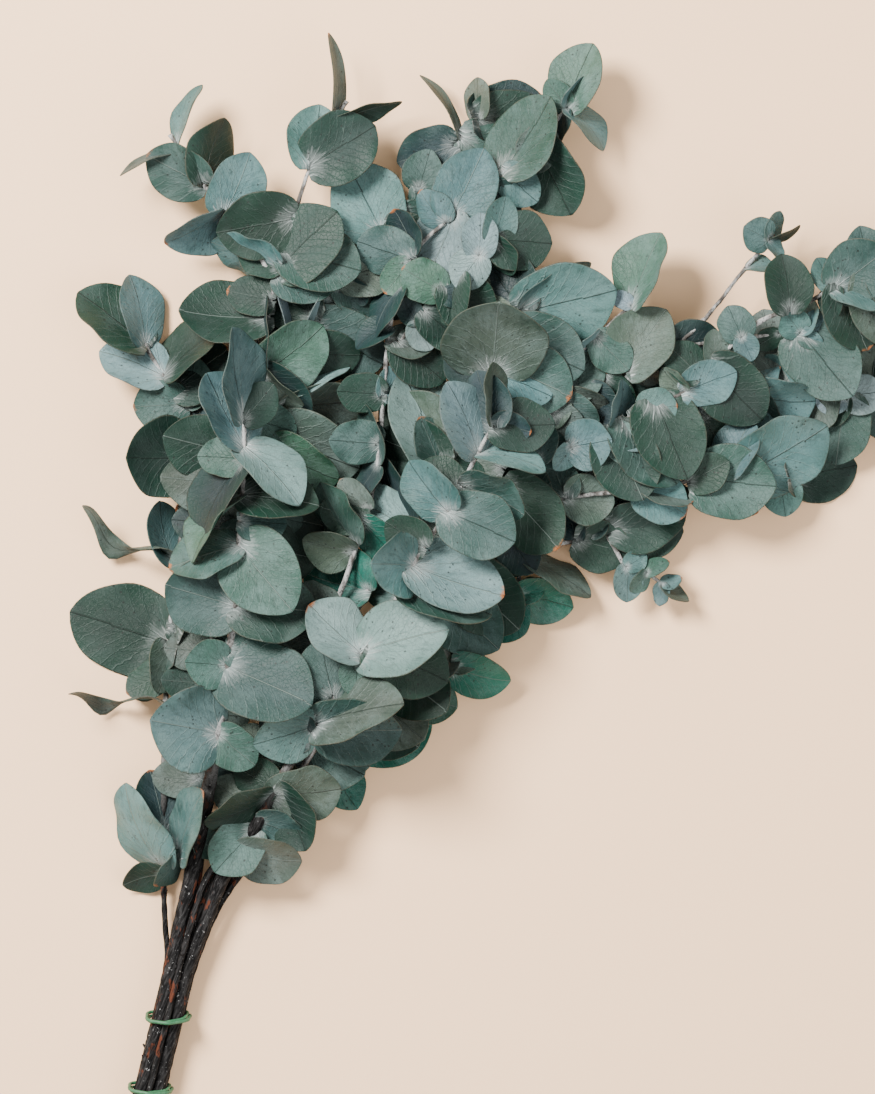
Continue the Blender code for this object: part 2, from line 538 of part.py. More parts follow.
def poses(leaf):
    """Poses to try, from the one that looks as seen to those that differ more."""
    if leaf.rests:
        return [(0.0, 0.0, 0.0, 0.0)]
    found = []
    for turn in (0, 6, -6, 12, -12, 18, -18, 25, -25, 32, -32, 40, -40):
        for side in (1, -1):
            for more in (0, 9, -9, 18, -18):
                pitch = leaf.first_pitch + turn
                roll = side * (leaf.first_roll + more)
                if abs(pitch) < 58 and abs(roll) < 78:
                    cost = abs(turn) + 0.6 * abs(more) + (side < 0)
                    found.append((cost, pitch, roll, 0.0))
    return sorted(found)


def seat_leaf(leaf, owner, placed):
    """Gives the leaf the nearest pose that touches no other stem's leaves."""
    for leaf.shrink in (1.0, 0.86, 0.72, 0.58):
        best = None
        for cost, pitch, roll, lift in poses(leaf):
            if best and cost >= best[0]:
                break
            leaf.pose(pitch, roll, lift)
            bm = blade_solid(leaf, BLADE_CLEARANCE)
            low, high = box_of(bm)
            if not leaf.rests and low[2] < FLOOR_CLEARANCE:
                bm.free()
                continue
            tree = BVHTree.FromBMesh(bm)
            crossed = [other for other, solid in placed.near(low, high) if tree.overlap(solid)]
            if all(other == owner for other in crossed):
                tops = [vert.co.copy() for vert in bm.verts]
                hidden = placed.above(tops, low, high)
                cost += 9.0 * max(len(crossed) - 1, 0) + 1.2 * hidden
                if best is None or cost < best[0]:
                    best = (cost, pitch, roll, lift)
            bm.free()
        if best:
            leaf.pose(*best[1:])
            return True
    return False


def inside_outline(x, y):
    """True where a ray to the right crosses the outline an odd number of times."""
    crossings = 0
    for (ax, ay), (bx, by) in zip(OUTLINE, OUTLINE[1:] + OUTLINE[:1]):
        if (ay > y) != (by > y) and x < ax + (bx - ax) * (y - ay) / (by - ay):
            crossings += 1
    return crossings % 2 == 1


def stays_inside(leaf):
    """True where the rim of the leaf stays inside the outline and off its openings."""
    for across, along in ((0, 1.0), (-0.9, 0.5), (0.9, 0.5), (-0.8, 0.8), (0.8, 0.8), (0, 0.6)):
        x, y, _ = leaf.point(across, along)
        if not inside_outline(x, y):
            return False
        if any(math.hypot(x - a, y - b) < radius for a, b, radius in OPENINGS):
            return False
    return True


def gaps(placed, step):
    """Places inside the outline where the surface would still show between the leaves."""
    low_x, high_x = min(x for x, _ in OUTLINE), max(x for x, _ in OUTLINE)
    low_y, high_y = min(y for _, y in OUTLINE), max(y for _, y in OUTLINE)
    for row in range(int((high_y - low_y) / step) + 1):
        for column in range(int((high_x - low_x) / step) + 1):
            x = low_x + (column + 0.5 * (row % 2)) * step
            y = low_y + row * step
            if inside_outline(x, y) and not placed.covers(x, y):
                yield x, y


def fill_rows(x, y, routes):
    """Leaves that could grow from a nearby stem to cover a gap, the shortest first."""
    found = []
    for name, own in routes.items():
        root = nearest_on_route(own, x, y)
        reach = math.hypot(x - root.x, y - root.y)
        if 6.0 < reach < GAP_REACH:
            found.append((reach, name, root))
    for reach, name, root in sorted(found, key=lambda item: item[:2]):
        length = min(max(reach + GAP_OVERSHOOT, SHORTEST_FILL), LONGEST_FILL)
        share = length / reach
        tip_x, tip_y = root.x + (x - root.x) * share, root.y + (y - root.y) * share
        yield name, root, (root.x, root.y, tip_x, tip_y, 0.84 * length)


def fill_gaps(placed, seated, step):
    """Back-layer leaves where the surface shows through, from the nearest stem that can."""
    routes = {name: all_routes(name) for name in SLOTS}
    number = round(1000 * step)
    for x, y in list(gaps(placed, step)):
        if placed.covers(x, y):
            continue
        for name, root, row in fill_rows(x, y, routes):
            number += 1
            leaf = Leaf((*row, FILL_TONES[number % len(FILL_TONES)], 1), root, number)
            if stays_inside(leaf) and seat_leaf(leaf, name, placed):
                seated[name].append(leaf)
                placed.add(name, blade_solid(leaf))
                break


def seat_all(placed):
    """Every leaf that finds a clear place, from the back layer to the front one."""
    waiting = []
    for name, rows in LEAVES.items():
        routes = all_routes(name)
        for number, row in enumerate(rows):
            root = nearest_on_route(routes, row[0], row[1])
            leaf = Leaf(row, root, 1000 * len(name) + number)
            if leaf.seen_length >= LEAST_LENGTH:
                waiting.append((name, leaf))
    waiting.sort(key=lambda item: (not item[1].rests, item[1].layer))
    seated = {name: [] for name in LEAVES}
    for name, leaf in waiting:
        if seat_leaf(leaf, name, placed):
            seated[name].append(leaf)
            placed.add(name, blade_solid(leaf))
    fill_gaps(placed, seated, GAP_STEP)
    return seated


# Solids


def tube(name, points, radii, sides=1, closed=False):
    """A tube along the points, as a mesh object with its end caps welded on."""
    curve = bpy.data.curves.new(name, "CURVE")
    curve.dimensions = "3D"
    curve.bevel_depth = 1.0
    curve.bevel_resolution = sides
    curve.use_fill_caps = not closed
    spline = curve.splines.new("POLY")
    spline.points.add(len(points) - 1)
    spline.use_cyclic_u = closed
    for spot, place, radius in zip(spline.points, points, radii):
        spot.co = (*place, 1.0)
        spot.radius = radius
    guide = bpy.data.objects.new(name, curve)
    bpy.context.scene.collection.objects.link(guide)
    graph = bpy.context.evaluated_depsgraph_get()
    mesh = bpy.data.meshes.new_from_object(guide.evaluated_get(graph))
    bpy.data.objects.remove(guide)
    bm = bmesh.new()
    bm.from_mesh(mesh)
    bmesh.ops.remove_doubles(bm, verts=bm.verts, dist=0.01)
    bmesh.ops.recalc_face_normals(bm, faces=bm.faces)
    bm.to_mesh(mesh)
    bm.free()
    return bpy.data.objects.new(name, mesh)


def add_tree(placed, owner, obj):
    bm = bmesh.new()
    bm.from_mesh(obj.data)
    placed.add(owner, bm)
    bm.free()


def fuse(stem, pieces):
    """One solid: the stem with its twigs and blades joined to it."""
    box = bpy.data.collections.new(stem.name + "_pieces")
    bpy.context.scene.collection.children.link(box)
    bpy.context.scene.collection.objects.link(stem)
    for piece in pieces:
        box.objects.link(piece)
    union = stem.modifiers.new("fuse", "BOOLEAN")
    union.operation = "UNION"
    union.operand_type = "COLLECTION"
    union.collection = box
    union.solver = "MANIFOLD"
    graph = bpy.context.evaluated_depsgraph_get()
    joined = bpy.data.meshes.new_from_object(stem.evaluated_get(graph))
    stem.modifiers.clear()
    stem.data = joined
    bpy.context.scene.collection.objects.unlink(stem)
    for piece in pieces:
        bpy.data.objects.remove(piece)
    bpy.data.collections.remove(box)


def finish(obj, colour, roughness, collection):
    """Turns the millimetres into metres, centres the bunch and gives the piece its surface."""
    shift = Matrix.Translation(Vector((CENTRE_SHIFT[0], CENTRE_SHIFT[1], 0.0)) * MM)
    obj.data.transform(shift @ Matrix.Scale(MM, 4))
    obj.data.materials.clear()
    obj.data.materials.append(material(obj.name, colour, roughness))
    collection.objects.link(obj)


def stem_tubes(name):
    """The stem's own tube, and one for each of its twigs."""
    route = stem_route(name)
    thick = SLOTS[name][2]
    stem = tube(name, route, route_radii(route, thick, TIP_RADIUS, 6))
    twigs = []
    for number, points in enumerate(TWIGS.get(name, ())):
        places = [Vector(point) for point in points]
        radii = route_radii(places, TWIG_RADIUS, TIP_RADIUS - 0.1, 0)
        twigs.append(tube(f"{name}_twig_{number}", places, radii))
    return stem, twigs


def leaf_object(leaf, number):
    bm = blade_solid(leaf)
    mesh = bpy.data.meshes.new(f"leaf_{number}")
    bm.to_mesh(mesh)
    bm.free()
    return bpy.data.objects.new(mesh.name, mesh)


def band_points(station, sag):
    """A strand that runs twice round the stems, pulled tight over those furthest out."""
    centre, across = bundle_frame(station)
    along = Vector((across.y, -across.x, 0.0)) * -1
    reach = BAND_STRAND_RADIUS + BAND_GAP
    near = 2 * BAND_STRAND_RADIUS + BAND_GAP
    turns = []
    steps = 16
    for step in range(2 * steps):
        angle = 2 * math.pi * (step + 0.5) / steps
        way = Vector((math.cos(angle), math.sin(angle)))
        far = max(SLOTS.values(), key=lambda slot: Vector(slot[:2]).dot(way) + slot[2])
        turned = (angle - math.radians(BAND_CROSSING)) / 2
        over = near * max(0.0, math.cos(turned))
        spot = Vector(far[:2]) + way * (far[2] + reach + over)
        offset = near / 2 * math.sin(turned) + sag * (spot.y / 9.0) - 0.12 * sag * spot.x
        turns.append(centre + across * spot.x + Vector((0, 0, spot.y)) + along * offset)
    return turns


def band(name, station, sag):
    points = band_points(station, sag)
    return tube(name, points, [BAND_STRAND_RADIUS] * len(points), closed=True)


def build():
    clear_scene()
    bunch = bpy.data.collections.new("eucalyptus_bunch")
    bpy.context.scene.collection.children.link(bunch)
    placed = Placed()
    tubes = {name: stem_tubes(name) for name in SLOTS}
    for name, (stem, twigs) in tubes.items():
        for piece in (stem, *twigs):
            add_tree(placed, name, piece)
    seated = seat_all(placed)
    for name, (stem, twigs) in tubes.items():
        leaves = [leaf_object(leaf, number) for number, leaf in enumerate(seated[name])]
        fuse(stem, twigs + leaves)
        finish(stem, LEAF_COLOURS[name], 0.7, bunch)
    finish(band("band_upper", 2, -2.2), BAND_COLOUR, 0.55, bunch)
    finish(band("band_lower", 1, -1.8), BAND_COLOUR, 0.55, bunch)


build()
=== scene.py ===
"""The looks of a tied bunch of preserved silver-dollar eucalyptus, seen from straight above.

The tables are in millimetres, as in the model's source: X to the right, Y from the cut ends
to the tips, Z up from the surface that the bunch lies on.
"""

import math
import random

import bmesh
import bpy
from mathutils import Matrix, Vector, kdtree, noise
from mathutils.bvhtree import BVHTree


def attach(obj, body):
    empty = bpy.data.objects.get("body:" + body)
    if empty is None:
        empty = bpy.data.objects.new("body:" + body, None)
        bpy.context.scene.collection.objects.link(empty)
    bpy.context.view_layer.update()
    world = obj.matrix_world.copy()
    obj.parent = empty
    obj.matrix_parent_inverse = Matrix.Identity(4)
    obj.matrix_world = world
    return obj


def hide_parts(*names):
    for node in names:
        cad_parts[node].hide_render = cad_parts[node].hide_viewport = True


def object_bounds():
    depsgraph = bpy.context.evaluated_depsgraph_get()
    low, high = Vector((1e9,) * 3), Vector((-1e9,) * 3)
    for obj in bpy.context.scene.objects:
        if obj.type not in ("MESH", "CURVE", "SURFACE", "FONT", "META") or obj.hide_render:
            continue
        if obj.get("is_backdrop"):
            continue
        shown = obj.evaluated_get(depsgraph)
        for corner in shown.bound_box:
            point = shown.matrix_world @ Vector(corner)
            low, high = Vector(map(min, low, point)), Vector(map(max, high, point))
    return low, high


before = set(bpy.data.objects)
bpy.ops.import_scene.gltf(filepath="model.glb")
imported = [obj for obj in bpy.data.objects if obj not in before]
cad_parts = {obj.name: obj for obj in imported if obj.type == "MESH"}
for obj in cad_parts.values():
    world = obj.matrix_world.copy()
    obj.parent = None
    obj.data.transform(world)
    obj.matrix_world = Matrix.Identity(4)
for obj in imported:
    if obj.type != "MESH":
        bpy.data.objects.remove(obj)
cad_box = [list(corner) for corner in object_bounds()]


# Stem routes
# Eleven woody stems of a eucalyptus, cut at the bottom and gathered in two rubber bands.
# They lie on the surface and fan out past the bands. Each runs through its own place in the
# tied section, then along the points that it was seen to take.

MM = 0.001
THIN_STEM_RADIUS = 1.65
TIP_RADIUS = 1.15
TWIG_RADIUS = 1.25
TAPER = 1.8
ROOT_DEPTH = 4.0
BUNDLE_HEIGHT = 12.7
CENTRE_SHIFT = Vector((4.0, 3.8, 0.0))
BUNDLE_LINE = ((-216.5, -314.0), (-207.6, -280.0), (-197.7, -240.0), (-190.5, -210.0))
BUNDLE_FLARE = (1.12, 1.0, 1.0, 1.08)
STRAIGHT_POINTS = 6
TWIG_THINNER = 0.1

# Place of each stem in the tied section (across, up) and its radius there
SLOTS = {
    "stem_left_front": (-4.3, 1.5, 4.2),
    "stem_centre_low": (4.4, 1.0, 4.1),
    "stem_left_side": (-7.3, -5.0, THIN_STEM_RADIUS),
    "stem_upper_left": (-3.65, -5.0, THIN_STEM_RADIUS),
    "stem_top_middle": (0.0, -5.0, THIN_STEM_RADIUS),
    "stem_centre_round": (3.65, -5.0, THIN_STEM_RADIUS),
    "stem_front_centre": (7.3, -5.0, THIN_STEM_RADIUS),
    "stem_right_upper": (-1.83, -8.2, THIN_STEM_RADIUS),
    "stem_right_lower": (1.83, -8.2, THIN_STEM_RADIUS),
    "stem_low_right": (5.5, -8.2, THIN_STEM_RADIUS),
    "stem_top_right": (0.0, 6.3, THIN_STEM_RADIUS),
}

# Route of each stem past the bundle, and of the twigs that grow from it
ROUTES = {
    "stem_left_front": (
        (-189, -180, 16), (-184, -160, 19), (-176, -120, 27), (-169, -80, 35), (-164, -42, 41),
        (-159, -9, 44), (-157, 25, 46), (-155, 53, 47), (-154, 80, 48), (-154, 99, 48),
    ),
    "stem_upper_left": (
        (-190, -185, 8), (-187, -160, 9), (-182, -120, 13), (-176, -60, 18), (-170, 0, 22),
        (-163, 60, 24), (-152, 100, 26), (-144, 122, 27), (-141, 153, 27), (-135, 180, 27),
        (-127, 208, 26), (-117, 238, 25), (-104, 262, 24), (-97, 274, 24),
    ),
    "stem_left_side": (
        (-199, -190, 8), (-200, -165, 9), (-200, -120, 11), (-199, -66, 13), (-197, -30, 13),
        (-193, 14, 15), (-186, 50, 17), (-184, 80, 18), (-188, 104, 18), (-200, 120, 17),
        (-212, 141, 16),
    ),
    "stem_top_middle": (
        (-185, -185, 8), (-180, -160, 9), (-173, -110, 12), (-165, -40, 15), (-150, 30, 17),
        (-138, 80, 18), (-126, 130, 19), (-115, 152, 19), (-100, 175, 19), (-77, 200, 18),
        (-56, 225.5, 16), (-37, 249, 14), (-21, 268, 12),
    ),
    "stem_top_right": (
        (-187, -196, 19.3), (-182.3, -180, 20), (-175, -160, 21), (-150, -120, 24),
        (-125, -60, 26), (-100, 0, 27), (-84, 50, 28), (-79, 74, 28), (-76.5, 110, 28),
        (-72.7, 149, 28), (-68, 165, 28), (-60, 188, 28), (-37.5, 210, 28), (-9.5, 235, 27),
        (20, 263, 25), (29, 273, 24),
    ),
    "stem_centre_round": (
        (-181, -185, 8.5), (-170, -160, 11.5), (-149, -120, 15.5), (-115, -60, 18), (-85, 0, 21),
        (-60, 35, 25), (-44, 67, 29), (-30, 98, 30), (-16, 121, 30), (-2, 150, 29),
        (1.5, 160, 29),
    ),
    "stem_front_centre": (
        (-170, -180, 9.5), (-157, -160, 12), (-143, -137, 18), (-133, -120, 24),
        (-119, -95, 32), (-96, -60, 42), (-80, -28, 48), (-60, 14, 52), (-40.5, 44, 55),
        (-24, 76, 56), (-13, 95, 55),
    ),
    "stem_centre_low": (
        (-174, -180, 15), (-166, -160, 19), (-151, -137, 24), (-133, -104, 32),
        (-114, -75, 38), (-101, -54, 42), (-87, -32, 46),
    ),
    "stem_low_right": (
        (-172.5, -180, 5), (-159.5, -160, 6), (-143, -137, 8), (-126, -115, 10), (-112, -98, 12),
        (-95, -82, 13), (-66, -56, 14), (-37, -43, 15), (-14, -20, 15), (-3, -4, 15),
        (2, 18, 15), (11.5, 24, 15), (32.5, 28, 15), (55, 35.6, 13),
    ),
    "stem_right_upper": (
        (-183.5, -182, 4.5), (-171, -160, 5), (-140, -120, 9), (-104, -60, 16),
        (-70, -10, 22), (-38, 33, 25), (-12, 55, 27), (6, 71, 30), (28, 80, 32), (52, 90, 34),
        (67, 101, 35), (92, 111, 36), (109, 128, 35), (134, 150, 33), (157, 159, 31),
        (176, 169, 29), (205, 182, 26),
    ),
    "stem_right_lower": (
        (-178.5, -182, 4.5), (-165.5, -160, 5), (-134, -118, 8), (-92, -58, 13), (-58, -15, 16),
        (-20, 24, 19), (8, 44, 21), (26.5, 52, 23), (44, 60.6, 22), (63, 67, 21),
        (84, 85, 20), (105, 100, 19), (127, 109, 18), (164, 116, 16), (182.5, 108, 15),
        (212, 104, 13), (226, 100, 12),
    ),
}
TWIGS = {
    "stem_upper_left": (
        ((-137, 172, 27), (-150, 193, 29), (-165, 211, 29), (-177, 227, 28), (-196, 255, 24)),
    ),
    "stem_left_side": (((-200, -168, 9), (-196, -155, 12), (-190, -147, 15), (-183, -135, 18)),),
    "stem_top_right": (
        ((-74.5, 131, 28), (-58, 150, 31), (-44, 167, 34), (-23, 187, 35), (-12, 199, 34)),
    ),
    "stem_low_right": (((47, 33, 13.6), (53, 24, 15), (60, 13, 16), (71, 9.5, 16), (83, 1, 15)),),
    "stem_right_upper": (
        (
            (-23, 46, 26), (-8, 72, 25), (14, 96, 24), (29, 110, 24), (59, 123, 25),
            (84, 135, 26), (112, 139, 25), (147, 144, 23), (161, 144, 22),
        ),
        ((84, 135, 26), (102, 150, 28), (126, 180, 29), (142, 199, 26)),
        ((20, 102, 24), (22, 116, 25), (31, 130, 26), (45, 144, 27), (65, 162, 27)),
    ),
    "stem_right_lower": (
        (
            (26.5, 52, 23), (48.5, 54.6, 27), (68, 57.6, 29), (94.5, 61, 29), (117, 65, 25),
            (146, 63.6, 18), (157, 63, 14),
        ),
    ),
}


def bundle_frame(index):
    """Centre of the tied section at one station, and the level direction across it."""
    centre = Vector((*BUNDLE_LINE[index], BUNDLE_HEIGHT))
    before = Vector(BUNDLE_LINE[max(index - 1, 0)])
    after = Vector(BUNDLE_LINE[min(index + 1, len(BUNDLE_LINE) - 1)])
    along = (after - before).normalized()
    return centre, Vector((along.y, -along.x, 0.0))


def stem_route(name):
    """All points of a stem, from its cut end through the bands to its tip."""
    side, up, _ = SLOTS[name]
    route = []
    for index, flare in enumerate(BUNDLE_FLARE):
        centre, across = bundle_frame(index)
        route.append(centre + across * side * flare + Vector((0, 0, up)))
    cut = random.Random(name).uniform(-5.0, 5.0)
    route[0] = route[0] + (route[1] - route[0]).normalized() * cut
    return route + [Vector(point) for point in ROUTES[name]]


def all_routes(name):
    """The stem's own route, then one for each of its twigs."""
    return [stem_route(name)] + [[Vector(point) for point in twig] for twig in TWIGS.get(name, ())]


def route_radii(route, thick, thin, straight):
    """Radius at each point: constant for the first few, then a taper that slows to the tip."""
    lengths = [0.0]
    for before, after in zip(route[straight:], route[straight + 1:]):
        lengths.append(lengths[-1] + (after - before).length)
    taper = [thin + (thick - thin) * (1 - length / lengths[-1]) ** TAPER for length in lengths]
    return [thick] * straight + taper


def tube_size(name, number, thinner):
    """Radius at a route's foot and at its tip, and how many of its points keep the first."""
    if number:
        return TWIG_RADIUS, TIP_RADIUS - thinner, 0
    return SLOTS[name][2], TIP_RADIUS, STRAIGHT_POINTS


def nearest_on_route(routes, x, y):
    """The point of any of the routes that is nearest to x, y as seen from above."""
    best = None
    for route in routes:
        for start, end in zip(route, route[1:]):
            run = end - start
            flat = Vector((run.x, run.y))
            share = flat.dot(Vector((x - start.x, y - start.y))) / flat.length_squared
            furthest = 1.0 - ROOT_DEPTH / run.length if end is route[-1] else 1.0
            point = start + run * min(max(share, 0.0), furthest)
            gap = math.hypot(point.x - x, point.y - y)
            if best is None or gap < best[0]:
                best = (gap, point)
    return best[1]


def tube_mesh(name, points, radii, sides=1, closed=False):
    """A tube along the points, as a mesh with its end caps welded on."""
    curve = bpy.data.curves.new(name, "CURVE")
    curve.dimensions = "3D"
    curve.bevel_depth = 1.0
    curve.bevel_resolution = sides
    curve.use_fill_caps = not closed
    spline = curve.splines.new("POLY")
    spline.points.add(len(points) - 1)
    spline.use_cyclic_u = closed
    for spot, place, radius in zip(spline.points, points, radii):
        spot.co = (*place, 1.0)
        spot.radius = radius
    guide = bpy.data.objects.new(name, curve)
    bpy.context.scene.collection.objects.link(guide)
    graph = bpy.context.evaluated_depsgraph_get()
    mesh = bpy.data.meshes.new_from_object(guide.evaluated_get(graph))
    bpy.data.objects.remove(guide)
    bm = bmesh.new()
    bm.from_mesh(mesh)
    bmesh.ops.remove_doubles(bm, verts=bm.verts, dist=0.01)
    bmesh.ops.recalc_face_normals(bm, faces=bm.faces)
    bm.to_mesh(mesh)
    bm.free()
    return mesh


# Leaf places
# Preserved leaves, round to ovate, set in pairs along the stems, each with a short stalk.
# Every leaf is known by where it was seen. It is tilted and leaned over until it looks that
# wide from above, and turned on a little where it would cut through another stem's leaves.

BLADE_THICKNESS = 0.8
BLADE_CLEARANCE = 0.6
FLOOR_CLEARANCE = 1.0
STEEPEST_PITCH = 58
STEEPEST_ROLL = 78
SHRINKS = (1.0, 0.86, 0.72, 0.58)
CROSSING_COST = 9.0
HIDDEN_COST = 1.2
ABOVE_ALL = 200.0
BIG_ROWS = (0.0, 0.2, 0.5, 0.8, 1.0)
SMALL_ROWS = (0.0, 0.3, 0.7, 1.0)
SMALL_LENGTH = 50.0
LEAST_LENGTH = 23.0
NATURAL_RATIO = 0.90
REST_BEND = 0.2
WIDER = 1.06
NARROWEST = 2.3

